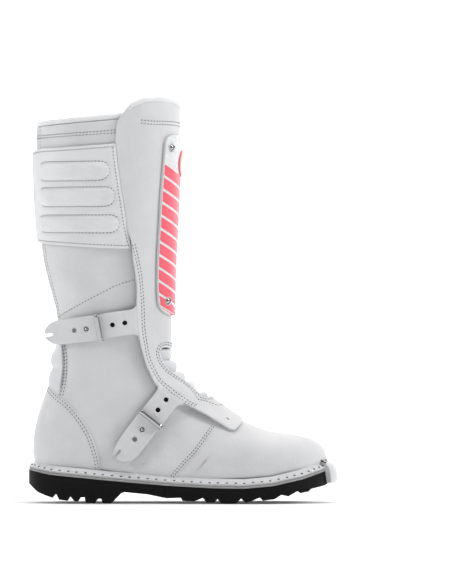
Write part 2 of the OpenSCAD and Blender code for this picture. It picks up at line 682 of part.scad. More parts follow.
// Catch plate riveted to the boot behind the buckle
rivet_d = 3.6;
catch_thickness = 1.4;
function rivet_spots(bar, angle) = [for (x = [-1, 13], y = [-7, 7])
    bar + x * [cos(angle), sin(angle)] + y * [-sin(angle), cos(angle)]];
module catch_plate(bar, angle, base) {
    back = bar - 4 * [cos(angle), sin(angle)];
    end = bar + 17 * [cos(angle), sin(angle)];
    color("gray") difference() {
        shell(band([back, bar, (bar + end) / 2, end], strap_width - 3, 8, 3), base,
            base + catch_thickness);
        for (p = rivet_spots(bar, angle)) stand(p, angle, base)
            translate([0, 0, -2]) cylinder(d = rivet_d, h = 6, $fn = 32);
    }
}
module catch_rivets(bar, angle, base) {
    for (p = rivet_spots(bar, angle)) color("silver") stand(p, angle, base)
        translate([0, 0, 0.1]) cylinder(d = rivet_d - 0.3, h = catch_thickness - 0.1, $fn = 32);
}

catch_base = layer_gap;
module lower_catch_plate() { catch_plate(lower_bar, lower_angle, catch_base); }
module lower_catch_rivets() { catch_rivets(lower_bar, lower_angle, catch_base); }
module upper_catch_plate() { catch_plate(upper_bar, upper_angle, catch_base); }
module upper_catch_rivets() { catch_rivets(upper_bar, upper_angle, catch_base); }
module upper_strap() { strap(upper_line, upper_holes, upper_angle); }
module lower_strap() { strap(lower_line, lower_holes, lower_angle); }
module upper_buckle_frame() { buckle_frame(upper_bar, upper_angle); }
module lower_buckle_frame() { buckle_frame(lower_bar, lower_angle); }
module upper_stud() { stud(upper_holes[stud_hole], upper_angle); }
module lower_stud() { stud(lower_holes[stud_hole], lower_angle); }
module upper_roller() { roller(upper_bar, upper_angle); }
module lower_roller() { roller(lower_bar, lower_angle); }

// ---- Calf flap ----
tape_thickness = 0.5;
tape_gap = 0.35;
flap_in = over_in + 2 * (tape_thickness + tape_gap);
flap_out = flap_in + flap_thickness;
flap_front = svs([[-68, 380], [-67, 357.5], [-65.5, 343.5], [-62.5, 320.5], [-58, 290],
    [-55, 271.5], [-51.5, 254], [-50, 235]]);
flap_back_t = 172;
pad_gap = 0.4;
flap_top = sv([-100, 355])[1];
flap_bottom = sv([-100, 256])[1];

// Rows of the flap at a height, from its front seam round to the back
function flap_row(z, m, ta, tb) = let (q = st([-100 * kx, z]), t0 = edge_t(q[0], flap_front))
    [for (j = [0:m]) [q[0], lerp(lerp(t0, flap_back_t, ta), lerp(t0, flap_back_t, tb), j / m)]];

module calf_flap() {
    color("whitesmoke") shell([for (z = steps(flap_bottom, flap_top, 6)) flap_row(z, 14, 0.012, 1)],
        flap_in, flap_out);
}

module calf_pads() {
    room = (flap_top - flap_bottom) * 0.83;
    pitch = room / pad_count;
    for (i = [0:pad_count - 1]) {
        z0 = flap_bottom + (flap_top - flap_bottom) * 0.1 + i * pitch;
        color("white") shell([for (z = steps(z0, z0 + pitch * 0.72, 2)) flap_row(z, 10, 0.08, 0.83)],
            flap_out + pad_gap, flap_out + pad_gap + pad_thickness);
    }
}

// Touch fastener near the back edge of the flap
tape_rows = steps(lerp(flap_bottom, flap_top, 0.15), lerp(flap_bottom, flap_top, 0.85), 4);
module calf_loop_tape() {
    color("black") shell([for (z = tape_rows) flap_row(z, 6, 0.55, 0.94)],
        over_in, over_in + tape_thickness);
}
module calf_hook_tape() {
    color("black") shell([for (z = tape_rows) flap_row(z, 6, 0.55, 0.94)],
        over_in + tape_thickness + tape_gap, over_in + 2 * tape_thickness + tape_gap);
}

outsole_heel();
outsole_forefoot();
midsole();
welt();
insole_board();
shank();
footbed();
toe_guard();
toe_guard_screws();
vamp();
toe_puff();
foot_quarter();
heel_counter();
heel_stiffener();
foot_lining();
instep_panel();
lower_catch_plate();
lower_catch_rivets();
ankle_bellows();
ankle_panel();
achilles_gusset();
ankle_sides();
ankle_lining();
shaft_quarter();
tongue_gusset();
shaft_lining();
collar_binding();
shin_panel();
lip_binding();
shin_plate();
shin_stripes();
shin_badge();
shin_screws();
upper_catch_plate();
upper_catch_rivets();
calf_loop_tape();
calf_flap();
calf_pads();
calf_hook_tape();
upper_strap();
upper_buckle_frame();
upper_stud();
upper_roller();
lower_strap();
lower_buckle_frame();
lower_stud();
lower_roller();
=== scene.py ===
"""Looks of an off-road riding boot: leather, rubber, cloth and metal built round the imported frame."""

import logging
import math
import random
from dataclasses import dataclass, field
from enum import Enum
from typing import Any, Callable, Optional, Sequence, Union

import bmesh
import bpy
import numpy as np
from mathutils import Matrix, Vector
from mathutils.geometry import delaunay_2d_cdt


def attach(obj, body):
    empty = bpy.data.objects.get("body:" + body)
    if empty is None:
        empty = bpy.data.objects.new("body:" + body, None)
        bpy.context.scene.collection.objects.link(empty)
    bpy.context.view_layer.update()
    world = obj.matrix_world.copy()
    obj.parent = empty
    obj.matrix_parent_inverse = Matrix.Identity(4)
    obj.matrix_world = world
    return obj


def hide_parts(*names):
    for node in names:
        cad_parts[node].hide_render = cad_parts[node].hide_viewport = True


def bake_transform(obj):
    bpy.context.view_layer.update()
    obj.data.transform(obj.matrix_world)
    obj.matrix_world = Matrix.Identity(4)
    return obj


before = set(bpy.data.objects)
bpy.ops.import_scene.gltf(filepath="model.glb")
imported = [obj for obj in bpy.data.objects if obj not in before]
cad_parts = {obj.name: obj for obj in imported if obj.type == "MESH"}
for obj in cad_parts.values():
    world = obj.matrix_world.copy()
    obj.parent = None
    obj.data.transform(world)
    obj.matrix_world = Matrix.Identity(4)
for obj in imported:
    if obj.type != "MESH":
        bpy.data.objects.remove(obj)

log = logging.getLogger("boot")

MM = 0.001
Array = np.ndarray
Points = Sequence[tuple[float, float]]

# Heights of the sole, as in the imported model
MIDSOLE = 2.4
UPPER_FLOOR = 5.3

RUBBER_LINE = ((-154, 33), (-132, 28.5), (-102, 25.5), (-71, 22.5), (-18, 18), (28, 15.5),
               (60, 15), (89, 17.5), (119, 24), (145, 32.5), (160, 38))

# Sections of the upper: front end x, z, back end x, z, half width, place of the width,
# squareness of the back half. A back height of 0 means on the sole.
SECTIONS = (
    (142.7, 43.2, 142.5, 42.4, 0.3, 0.5, 2.4),
    (143.4, 45.5, 141, 39.6, 4, 0.5, 3),
    (142, 51.5, 137, 0, 14, 0.45, 3.5),
    (137, 58.5, 130, 0, 24, 0.42, 4.5),
    (127, 64, 118.5, 0, 33, 0.4, 6),
    (111, 68, 103, 0, 40, 0.38, 7),
    (90, 71, 78, 0, 45.5, 0.36, 7),
    (66, 79, 40, 0, 46, 0.36, 7),
    (50, 88, -5, 0, 41.5, 0.36, 7),
    (38.5, 96, -50, 0, 37.5, 0.38, 7),
    (31, 101.5, -95, 0, 35.5, 0.4, 6),
    (27.5, 104, -126, 0, 35.2, 0.42, 5),
    (26, 105.5, -143, 38.5, 35.2, 0.44, 4),
    (25, 106.5, -148.5, 50, 35.2, 0.45, 3.2),
    (24, 107.5, -147.5, 68, 35.2, 0.46, 3),
    (22.3, 108.3, -143, 88, 35.2, 0.47, 2.8),
    (20.3, 108.9, -137.5, 105, 35.2, 0.48, 2.6),
    (17.3, 110.9, -133, 117, 35.2, 0.5, 2.5),
    (4.4, 121.6, -130, 128, 35.2, 0.5, 2.4),
    (-8, 136.6, -129, 142, 35.8, 0.5, 2.3),
    (-13.7, 153, -127, 155, 36.5, 0.5, 2.3),
    (-14, 170, -125, 172, 37.5, 0.5, 2.3),
    (-14, 187, -126.5, 190, 39.5, 0.5, 2.3),
    (-13.5, 206, -131, 208, 42.5, 0.5, 2.2),
    (-13, 226, -136, 226, 46, 0.5, 2.2),
    (-12, 250, -140.5, 248, 50, 0.5, 2.2),
    (-10.5, 280, -143, 276, 54.5, 0.5, 2.2),
    (-9, 312, -145, 306, 58.5, 0.5, 2.2),
    (-7.5, 343, -146, 336, 60.5, 0.5, 2.2),
    (-6, 370, -146.5, 360, 61.5, 0.5, 2.2),
    (-5.5, 392, -146.5, 378, 62, 0.5, 2.2),
    (-5.5, 414, -146.5, 398, 62, 0.5, 2.2))
FIRST_SECTION = -1
FRONT_POWER = 2.3

SOLE_OUTLINE = (
    (-154, 0), (-150.5, 18), (-139, 32.5), (-118, 39.5), (-95, 40.5), (-50, 40), (-5, 42.5),
    (40, 49), (74, 53), (100, 51.5), (118, 46), (133, 36.5), (142, 25), (145.5, 9), (143.5, -8),
    (135.5, -24.5), (122, -38), (104, -47.5), (76, -53), (40, -51.5), (-5, -45.5), (-50, -42),
    (-95, -41), (-118, -39.5), (-139, -32.5), (-150.5, -18))


def rubber_top(x: Union[float, Array]) -> Array:
    """Height of the rubber's top face at x, in millimetres."""
    line = np.array(RUBBER_LINE, float)
    return np.interp(x, line[:, 0], line[:, 1])


def unit(v: Array) -> Array:
    """Vectors scaled to length one along the last axis."""
    return v / np.maximum(np.linalg.norm(v, axis=-1, keepdims=True), 1e-12)


def spline(points: Points, count: int = 8, closed: bool = False) -> Array:
    """Smooth curve through a few points.

    Args:
        points: The points, of any dimension.
        count: Steps between one point and the next.
        closed: Whether the last point joins the first.

    Returns:
        The points of the curve.
    """
    p = np.array(points, float)
    n = len(p)
    if closed:
        ring = np.vstack([p[-1], p, p[0], p[1]])
    else:
        ring = np.vstack([2 * p[0] - p[1], p, 2 * p[-1] - p[-2]])
    out = []
    for i in range(n if closed else n - 1):
        a, b, c, d = ring[i], ring[i + 1], ring[i + 2], ring[i + 3]
        for u in np.arange(count) / count:
            out.append(0.5 * (2 * b + (c - a) * u + (2 * a - 5 * b + 4 * c - d) * u * u
                              + (3 * b - a - 3 * c + d) * u ** 3))
    if not closed:
        out.append(p[-1])
    return np.array(out)


def spaced(path: Array, guide: Array, step: float, closed: bool = False) -> Array:
    """Points of a path at even steps of length.

    Args:
        path: The path to sample.
        guide: The same points in space, which give the length.
        step: Wanted distance between two points.
        closed: Whether the path is a loop.

    Returns:
        The sampled path.
    """
    if closed:
        path, guide = np.vstack([path, path[:1]]), np.vstack([guide, guide[:1]])
    run = np.concatenate([[0], np.cumsum(np.linalg.norm(np.diff(guide, axis=0), axis=1))])
    count = max(2, int(round(run[-1] / step)))
    at = np.linspace(0, run[-1], count + 1)
    out = np.stack([np.interp(at, run, path[:, k]) for k in range(path.shape[1])], -1)
    return out[:-1] if closed else out


class Form:
    """The outer face of the leather, as a smooth surface over section and angle."""

    def __init__(self) -> None:
        """Fills in the heights on the sole and works out the slopes between sections."""
        rows = np.array(SECTIONS, float)
        flat = rows[:, 3] == 0
        rows[flat, 3] = rubber_top(rows[flat, 2]) + UPPER_FLOOR
        self.rows = rows
        step = np.diff(rows, axis=0)
        inner = np.zeros_like(rows)
        same = step[:-1] * step[1:] > 0
        mean = np.where(same, 2 * step[:-1] * step[1:] / np.where(same, step[:-1] + step[1:], 1), 0)
        inner[1:-1] = mean
        inner[0], inner[-1] = step[0], step[-1]
        self.slopes = inner
        side = self.skin(np.arange(0, self.top + 0.01, 0.25), 90)
        run = np.concatenate([[0], np.cumsum(np.linalg.norm(np.diff(side, axis=0), axis=1))])
        self.v_knots, self.s_knots = run, np.arange(0, self.top + 0.01, 0.25)

    @property
    def top(self) -> int:
        """The number of the last section."""
        return len(self.rows) - 1 + FIRST_SECTION

    def at(self, s: Array) -> Array:
        """The section's seven values at s."""
        k = np.clip(np.asarray(s, float) - FIRST_SECTION, 0, len(self.rows) - 1)
        i = np.minimum(np.floor(k).astype(int), len(self.rows) - 2)
        u = (k - i)[..., None]
        a, b, m, n = self.rows[i], self.rows[i + 1], self.slopes[i], self.slopes[i + 1]
        return ((1 + 2 * u) * (1 - u) ** 2 * a + u * (1 - u) ** 2 * m
                + u * u * (3 - 2 * u) * b + u * u * (u - 1) * n)

    def skin(self, s: Array, a: Array) -> Array:
        """Points of the surface.

        Args:
            s: Section numbers.
            a: Angles in degrees: 0 front, 90 outer side, 180 back, -90 inner side.

        Returns:
            The points, in millimetres.
        """
        s, a = np.broadcast_arrays(np.asarray(s, float), np.asarray(a, float))
        r = self.at(s)
        front, back = r[..., 0:2], r[..., 2:4]
        length = np.linalg.norm(front - back, axis=-1)
        e = (front - back) / length[..., None]
        c, w = np.cos(np.radians(a)), np.sin(np.radians(a))
        k = np.where(c >= 0, FRONT_POWER, r[..., 6])
        size = (np.abs(c) ** k + np.abs(w) ** k) ** (1 / k)
        c, w = c / size, w / size
        f = r[..., 5] * length + np.where(c >= 0, 1 - r[..., 5], r[..., 5]) * length * c
        y = 7 * np.maximum(0, 1 - s / 7) ** 2 - r[..., 4] * w
        return np.stack([back[..., 0] + e[..., 0] * f, y, back[..., 1] + e[..., 1] * f], -1)

    def along(self, s: Array, a: Array) -> tuple[Array, Array]:
        """How a point moves with the section and with the angle."""
        h = 0.02
        up = (self.skin(s + h, a) - self.skin(s - h, a)) / (2 * h)
        turn = (self.skin(s, a + 25 * h) - self.skin(s, a - 25 * h)) / (50 * h)
        return up, turn

    def normal(self, s: Array, a: Array) -> Array:
        """Outward unit normals."""
        up, turn = self.along(np.asarray(s, float), np.asarray(a, float))
        return unit(np.cross(up, turn))

    def place(self, s: Array, a: Array, d: Union[float, Array] = 0.0) -> Array:
        """Points at a distance d outside the surface."""
        s, a = np.broadcast_arrays(np.asarray(s, float), np.asarray(a, float))
        d = np.broadcast_to(np.asarray(d, float), s.shape)
        return self.skin(s, a) + self.normal(s, a) * d[..., None]

    def locate(self, points: Points) -> Array:
        """Section and angle of side-view points, on the outer side.

        Args:
            points: Pairs of x and z.

        Returns:
            An array of pairs of section and angle.
        """
        p = np.array(points, float)
        low, high = np.full(len(p), 0.0), np.full(len(p), float(self.top))
        for _ in range(30):
            mid = (low + high) / 2
            r = self.at(mid)
            over = ((r[:, 0] - r[:, 2]) * (p[:, 1] - r[:, 3])
                    - (r[:, 1] - r[:, 3]) * (p[:, 0] - r[:, 2])) > 0
            low, high = np.where(over, mid, low), np.where(over, high, mid)
        r = self.at(low)
        e = r[:, 0:2] - r[:, 2:4]
        f = ((p - r[:, 2:4]) * e).sum(1) / (e * e).sum(1)
        fore = f >= r[:, 5]
        u = np.clip(np.where(fore, (f - r[:, 5]) / (1 - r[:, 5]), (r[:, 5] - f) / r[:, 5]), 0, 1)
        k = np.where(fore, FRONT_POWER, r[:, 6])
        turn = np.degrees(np.arctan2((1 - u ** k) ** (1 / k), u))
        return np.stack([low, np.where(fore, turn, 180 - turn)], -1)

    def trace(self, points: Points, step: float = 1.5, smooth: bool = True) -> Array:
        """A side-view line laid on the outer side, sampled at even steps."""
        line = self.locate(spline(points) if smooth else points)
        return spaced(line, self.skin(line[:, 0], line[:, 1]), step)

    def walk(self, line: Array, distance: Union[float, Array], closed: bool = False) -> Array:
        """Moves a line sideways over the surface.

        Args:
            line: Pairs of section and angle.
            distance: How far, to the left of its run seen from outside.
            closed: Whether the line is a loop.

        Returns:
            The moved line.
        """
        s, a = line[:, 0], line[:, 1]
        p = self.skin(s, a)
        if closed:
            run = np.roll(p, -1, 0) - np.roll(p, 1, 0)
        else:
            run = np.gradient(p, axis=0)
        way = unit(np.cross(self.normal(s, a), run)) * np.reshape(distance, (-1, 1))
        up, turn = self.along(s, a)
        uu, ut, tt = (up * up).sum(1), (up * turn).sum(1), (turn * turn).sum(1)
        pu, pt = (up * way).sum(1), (turn * way).sum(1)
        det = np.maximum(uu * tt - ut * ut, 1e-9)
        return np.stack([s + (tt * pu - ut * pt) / det, a + (uu * pt - ut * pu) / det], -1)

    def flatten(self, line: Array) -> Array:
        """Section and angle as flat coordinates of about a millimetre."""
        v = np.interp(line[:, 0], self.s_knots, self.v_knots)
        return np.stack([-line[:, 1] * 0.95, v], -1)

    def unflatten(self, flat: Array) -> Array:
        """The inverse of flatten."""
        return np.stack([np.interp(flat[:, 1], self.v_knots, self.s_knots), -flat[:, 0] / 0.95], -1)


FORM = Form()


def mirrored(line: Array) -> Array:
    """The same line on the inner side, run the other way."""
    return (line * (1, -1))[::-1]


# ---------------------------------------------------------------- meshes


@dataclass
class Mesh:
    """Vertices in millimetres and faces of a mesh that is still being put together."""

    verts: list[Array] = field(default_factory=list)
    faces: list[tuple[int, ...]] = field(default_factory=list)
    count: int = 0

    def add(self, verts: Array, faces: Sequence[Sequence[int]]) -> "Mesh":
        """Adds a part and returns the mesh."""
        self.verts.append(np.reshape(verts, (-1, 3)))
        self.faces += [tuple(int(i) + self.count for i in f) for f in faces]
        self.count += len(self.verts[-1])
        return self

    def merge(self, other: "Mesh") -> "Mesh":
        """Adds another mesh."""
        for block in other.verts:
            self.verts.append(block)
        self.faces += [tuple(i + self.count for i in f) for f in other.faces]
        self.count += other.count
        return self


def grid_faces(rows: int, cols: int, ring: bool, start: int = 0, flip: bool = False) -> list:
    """Quads of a grid of points, closed round its columns where ring is set."""
    i, j = np.meshgrid(np.arange(rows - 1), np.arange(cols if ring else cols - 1), indexing="ij")
    k = (j + 1) % cols
    quads = np.stack([i * cols + j, i * cols + k, (i + 1) * cols + k, (i + 1) * cols + j], -1)
    quads = quads.reshape(-1, 4) + start
    return (quads[:, ::-1] if flip else quads).tolist()


def wall(outer: Array, inner: Array, ring: bool = False) -> Mesh:
    """Closed wall between two grids of points of the same size."""
    rows, cols = outer.shape[:2]
    n = rows * cols
    faces = grid_faces(rows, cols, ring, 0, True) + grid_faces(rows, cols, ring, n)
    for i, flip in ((0, False), (rows - 1, True)):
        for j in range(cols if ring else cols - 1):
            k = (j + 1) % cols
            quad = (i * cols + j, i * cols + k, n + i * cols + k, n + i * cols + j)
            faces.append(quad[::-1] if flip else quad)
    if not ring:
        for j, flip in ((0, True), (cols - 1, False)):
            for i in range(rows - 1):
                quad = (i * cols + j, (i + 1) * cols + j, n + (i + 1) * cols + j, n + i * cols + j)
                faces.append(quad[::-1] if flip else quad)
    return Mesh().add(np.concatenate([outer.reshape(-1, 3), inner.reshape(-1, 3)]), faces)


def tube(path: Array, radius: Union[float, Array], sides: int = 10, closed: bool = False,
         up: Optional[Array] = None, flat: float = 1.0) -> Mesh:
    """Round bar along a path.

    Args:
        path: Its points in millimetres.
        radius: Radius, or one for each point.
        sides: Number of sides.
        closed: Whether the path is a loop.
        up: Direction of the section's first axis at each point.
        flat: Section's second axis against its first.

    Returns:
        The mesh, with closed ends.
    """
    n = len(path)
    run = unit(np.roll(path, -1, 0) - np.roll(path, 1, 0)) if closed else unit(np.gradient(path, axis=0))
    if up is None:
        seed = np.array([0.0, 0, 1]) if abs(run[0, 2]) < 0.9 else np.array([1.0, 0, 0])
        ups = [unit(seed - run[0] * (seed @ run[0]))]
        for k in range(1, n):
            ups.append(unit(ups[-1] - run[k] * (ups[-1] @ run[k])))
        up = np.array(ups)
    else:
        up = unit(up - run * (up * run).sum(1, keepdims=True))
    side = np.cross(run, up)
    t = np.arange(sides) * 2 * math.pi / sides
    r = np.broadcast_to(np.asarray(radius, float), (n,))[:, None, None]
    verts = path[:, None] + r * (up[:, None] * np.cos(t)[None, :, None]
                                 + side[:, None] * np.sin(t)[None, :, None] * flat)
    faces = grid_faces(n, sides, True)
    if closed:
        faces += [((n - 1) * sides + j, (n - 1) * sides + (j + 1) % sides, (j + 1) % sides, j)
                  for j in range(sides)]
    else:
        faces += [list(range(sides))[::-1], [(n - 1) * sides + j for j in range(sides)]]
    return Mesh().add(verts, faces)


def lathe(profile: Points, sides: int = 40) -> tuple[Array, list]:
    """Solid of revolution about z from (radius, height) points that start and end on the axis."""
    p = np.array(profile, float)
    t = np.arange(sides) * 2 * math.pi / sides
    body = p[1:-1]
    verts = [np.array([[0, 0, p[0, 1]]])]
    for r, z in body:
        verts.append(np.stack([r * np.cos(t), r * np.sin(t), np.full(sides, z)], -1))
    verts.append(np.array([[0, 0, p[-1, 1]]]))
    faces = grid_faces(len(body), sides, True, 1)
    last = 1 + (len(body) - 1) * sides
    end = last + sides
    faces += [(0, 1 + (j + 1) % sides, 1 + j) for j in range(sides)]
    faces += [(last + j, last + (j + 1) % sides, end) for j in range(sides)]
    return np.concatenate(verts), faces


def stitches(path: Array, up: Array, pitch: float = 2.6, length: float = 2.0,
             radius: float = 0.32, closed: bool = False) -> Mesh:
    """A row of sewn stitches.

    Args:
        path: Points on the surface, close together.
        up: Surface normals there.
        pitch: Distance from one stitch to the next.
        length: Visible length of a stitch.
        radius: Half the thread's width.
        closed: Whether the row is a loop.

    Returns:
        A mesh with one small rounded thread for each stitch.
    """
    both = spaced(np.hstack([path, up]), path, pitch, closed)
    a, n = both[:, :3], unit(both[:, 3:])
    if closed:
        b = np.roll(a, -1, 0)
    else:
        a, b, n = a[:-1], a[1:], n[:-1]
    run = unit(b - a)
    across = unit(np.cross(run, n))
    steps = np.array([0.0, 0.14, 0.5, 0.86, 1.0])
    girth = np.array([0.35, 0.9, 1.0, 0.9, 0.35]) * radius
    rise = np.array([-0.25, 0.12, 0.3, 0.12, -0.25]) * radius * 1.6
    t = np.arange(6) * math.pi / 3
    pts = (a[:, None, None] + run[:, None, None] * (steps[None, :, None, None] * length)
           + n[:, None, None] * (rise[None, :, None, None] + (girth[:, None] * np.cos(t))[None, :, :, None])
           + across[:, None, None] * (girth[:, None] * np.sin(t))[None, :, :, None])
    mesh = Mesh()
    base = grid_faces(5, 6, True) + [[0, 1, 2, 3, 4, 5][::-1], [24, 25, 26, 27, 28, 29]]
    block = np.array([f for f in base if len(f) == 4])
    shift = np.arange(len(a))[:, None, None] * 30
    quads = (block[None] + shift).reshape(-1, 4).tolist()
    caps = [[k * 30 + i for i in c] for k in range(len(a)) for c in base if len(c) == 6]
    return mesh.add(pts, quads + caps)


# ---------------------------------------------------------------- shaders


class Socket:
    """A shader value whose arithmetic adds Math nodes."""

    def __init__(self, shader: "Shader", link: Any) -> None:
        """Wraps an output socket of a shader."""
        self.shader, self.link = shader, link

    def _op(self, kind: str, a: Any, b: Any = 0.0) -> "Socket":
        """Adds a Math node."""
        return self.shader.node("ShaderNodeMath", {"operation": kind}, {0: a, 1: b})

    def __add__(self, o: Any) -> "Socket":
        """Sum."""
        return self._op("ADD", self, o)

    __radd__ = __add__

    def __mul__(self, o: Any) -> "Socket":
        """Product."""
        return self._op("MULTIPLY", self, o)

    __rmul__ = __mul__

    def __sub__(self, o: Any) -> "Socket":
        """Difference."""
        return self._op("SUBTRACT", self, o)

    def __rsub__(self, o: Any) -> "Socket":
        """Reflected difference."""
        return self._op("SUBTRACT", o, self)

    def __pow__(self, o: float) -> "Socket":
        """Power."""
        return self._op("POWER", self, o)


class Shader:
    """One material and the nodes in it."""

    def __init__(self, name: str) -> None:
        """Makes an empty principled material."""
        self.material = bpy.data.materials.new(name)
        self.material.use_nodes = True
        self.tree = self.material.node_tree
        self.tree.nodes.clear()
        out = self.tree.nodes.new("ShaderNodeOutputMaterial")
        self.bsdf = self.tree.nodes.new("ShaderNodeBsdfPrincipled")
        self.tree.links.new(self.bsdf.outputs[0], out.inputs[0])
        self.place = self.node("ShaderNodeTexCoord", {}, {}, "Object")

    def node(self, kind: str, settings: dict, inputs: dict, output: Union[int, str] = 0) -> Socket:
        """Adds any node.

        Args:
            kind: The node's type.
            settings: Properties set first; "stops" sets a colour ramp's stops.
            inputs: Values or sockets by the input's name or number.
            output: The output wanted.

        Returns:
            That output.
        """
        made = self.tree.nodes.new(kind)
        for key, value in settings.items():
            if key == "stops":
                ramp = made.color_ramp.elements
                while len(ramp) < len(value):
                    ramp.new(0.5)
                for stop, (place, colour) in zip(ramp, value):
                    stop.position, stop.color = place, colour
            else:
                setattr(made, key, value)
        for key, value in inputs.items():
            if isinstance(value, Socket):
                self.tree.links.new(value.link, made.inputs[key])
            else:
                made.inputs[key].default_value = value
        return Socket(self, made.outputs[output])

    def noise(self, scale: float, detail: float = 3.0, rough: float = 0.55) -> Socket:
        """Even noise from 0 to 1; scale is in lumps a metre."""
        return self.node("ShaderNodeTexNoise", {}, {"Vector": self.place, "Scale": scale,
                                                    "Detail": detail, "Roughness": rough})

    def cells(self, scale: float, feature: str = "F1") -> Socket:
        """Distance within random cells."""
        return self.node("ShaderNodeTexVoronoi", {"feature": feature},
                         {"Vector": self.place, "Scale": scale}, "Distance")

    def ramp(self, value: Socket, low: float, high: float) -> Socket:
        """Value stretched so that low becomes 0 and high becomes 1."""
        return self.node("ShaderNodeMapRange", {"clamp": True},
                         {"Value": value, "From Min": low, "From Max": high})

    def mix(self, factor: Union[float, Socket], a: Any, b: Any) -> Socket:
        """Mix of two colours."""
        return self.node("ShaderNodeMix", {"data_type": "RGBA"}, {0: factor, 6: a, 7: b}, 2)

    def bump(self, height: Socket, distance: float, strength: float = 1.0,
             under: Optional[Socket] = None) -> Socket:
        """Normal bent by a height.

        Args:
            height: The height, from 0 to 1.
            distance: What 1 stands for, in metres.
            strength: Strength of the effect.
            under: A normal that this one goes on top of.

        Returns:
            The normal.
        """
        inputs = {"Height": height, "Distance": distance, "Strength": strength}
        if under is not None:
            inputs["Normal"] = under
        return self.node("ShaderNodeBump", {}, inputs)

    def set(self, **values: Any) -> None:
        """Sets or links inputs of the principled shader, with _ for a space in a name."""
        for key, value in values.items():
            target = self.bsdf.inputs[key.replace("_", " ")]
            if isinstance(value, Socket):
                self.tree.links.new(value.link, target)
            else:
                target.default_value = value


def rgb(r: float, g: float, b: float) -> tuple[float, float, float, float]:
    """A colour with full alpha."""
    return (r, g, b, 1.0)


@dataclass(frozen=True)
class Leather:
    """Full-grain leather with pores darkened by painted shade, fine creases and a soft finish."""

    name: str
    tone: tuple = (0.67, 0.675, 0.685)
    pore: float = 1500.0
    depth: float = 0.00022
    gloss: float = 0.42
    crease: float = 0.6

    def make(self) -> bpy.types.Material:
        """Builds the material."""
        m = Shader(self.name)
        cloud = m.ramp(m.noise(28, 4), 0.35, 0.68)
        grain = m.cells(self.pore)
        lines = m.ramp(m.noise(260, 5, 0.62), 0.45, 0.56)
        shade = tuple(c * 0.93 for c in self.tone)
        base = m.mix(cloud, rgb(*self.tone), rgb(*shade))
        # Painted shade: the pits of the pores are darkened a tenth of the way towards 72% of the tone.
        pore_shade = m.ramp(grain, 0.0, 0.5)
        base = m.mix((1 - pore_shade) * 0.1, base, rgb(*(c * 0.72 for c in self.tone)))
        fine = m.bump(grain * 0.6 + m.noise(self.pore * 1.7, 2) * 0.4, self.depth)
        folds = m.bump(lines, 0.0003 * self.crease, 0.35, fine)
        swell = m.bump(m.noise(42, 3), 0.0016 * self.crease, 0.5, folds)
        m.set(Base_Color=base, Roughness=cloud * 0.08 + grain * 0.1 + self.gloss, Normal=swell,
              Specular_IOR_Level=0.42, Coat_Weight=0.08, Coat_Roughness=0.35)
        return m.material


@dataclass(frozen=True)
class Rubber:
    """Moulded rubber with a fine cast grain and dusty scuffs."""

    name: str
    tone: tuple = (0.0025, 0.0025, 0.003)
    dust: tuple = (0.007, 0.007, 0.007)
    rough: float = 0.6

    def make(self) -> bpy.types.Material:
        """Builds the material."""
        m = Shader(self.name)
        scuff = m.ramp(m.noise(90, 6, 0.7), 0.52, 0.72)
        base = m.mix(scuff * 0.5, rgb(*self.tone), rgb(*self.dust))
        cast = m.noise(2600, 2)
        m.set(Base_Color=base, Roughness=scuff * 0.15 + cast * 0.08 + self.rough,
              Normal=m.bump(cast, 0.00012, 0.8), Specular_IOR_Level=0.16)
        return m.material


@dataclass(frozen=True)
class Metal:
    """Polished or brushed metal with faint scratches."""

    name: str
    tone: tuple = (0.78, 0.78, 0.8)
    rough: float = 0.12
    scratch: float = 0.1

    def make(self) -> bpy.types.Material:
        """Builds the material."""
        m = Shader(self.name)
        fine = m.noise(700, 4, 0.7)
        spots = m.ramp(m.noise(240, 5, 0.65), 0.5, 0.75)
        base = m.mix(spots * 0.3, rgb(*self.tone), rgb(*(c * 0.7 for c in self.tone)))
        m.set(Base_Color=base, Metallic=1.0, Roughness=spots * self.scratch + self.rough,
              Normal=m.bump(fine, 0.00006, 0.5))
        return m.material


@dataclass(frozen=True)
class Plastic:
    """Smooth moulded or painted surface."""

    name: str
    tone: tuple
    rough: float = 0.28
    ripple: float = 0.00008

    def make(self) -> bpy.types.Material:
        """Builds the material."""
        m = Shader(self.name)
        haze = m.ramp(m.noise(160, 4), 0.4, 0.7)
        base = m.mix(haze * 0.5, rgb(*self.tone), rgb(*(c * 0.9 for c in self.tone)))
        m.set(Base_Color=base, Roughness=haze * 0.1 + self.rough,
              Normal=m.bump(m.noise(500, 3), self.ripple, 0.6), Coat_Weight=0.15,
              Coat_Roughness=0.15)
        return m.material


@dataclass(frozen=True)
class Cloth:
    """Woven or knitted textile, as a grid of rounded threads."""

    name: str
    tone: tuple
    # Colour of the weave's low parts, painted shade between the threads.
    dark: tuple
    pitch: float = 1.0
    height: float = 0.0003

    def make(self) -> bpy.types.Material:
        """Builds the material."""
        m = Shader(self.name)
        turns = 1000.0 / self.pitch
        waves = [m.node("ShaderNodeTexWave", {"wave_type": "BANDS", "bands_direction": way},
                        {"Vector": m.place, "Scale": turns / 20, "Distortion": 0.6,
                         "Detail Scale": 3.0}, "Fac") for way in ("Z", "DIAGONAL")]
        weave = waves[0] * 0.5 + waves[1] * 0.5
        # Painted shade: the weave's low parts, where its bump dips between the threads, take the dark colour.
        base = m.mix(weave, rgb(*self.dark), rgb(*self.tone))
        fuzz = m.noise(1800, 3)
        m.set(Base_Color=base, Roughness=fuzz * 0.15 + 0.78,
              Normal=m.bump(weave * 0.8 + fuzz * 0.2, self.height, 0.9),
              Sheen_Weight=0.25, Sheen_Roughness=0.5)
        return m.material


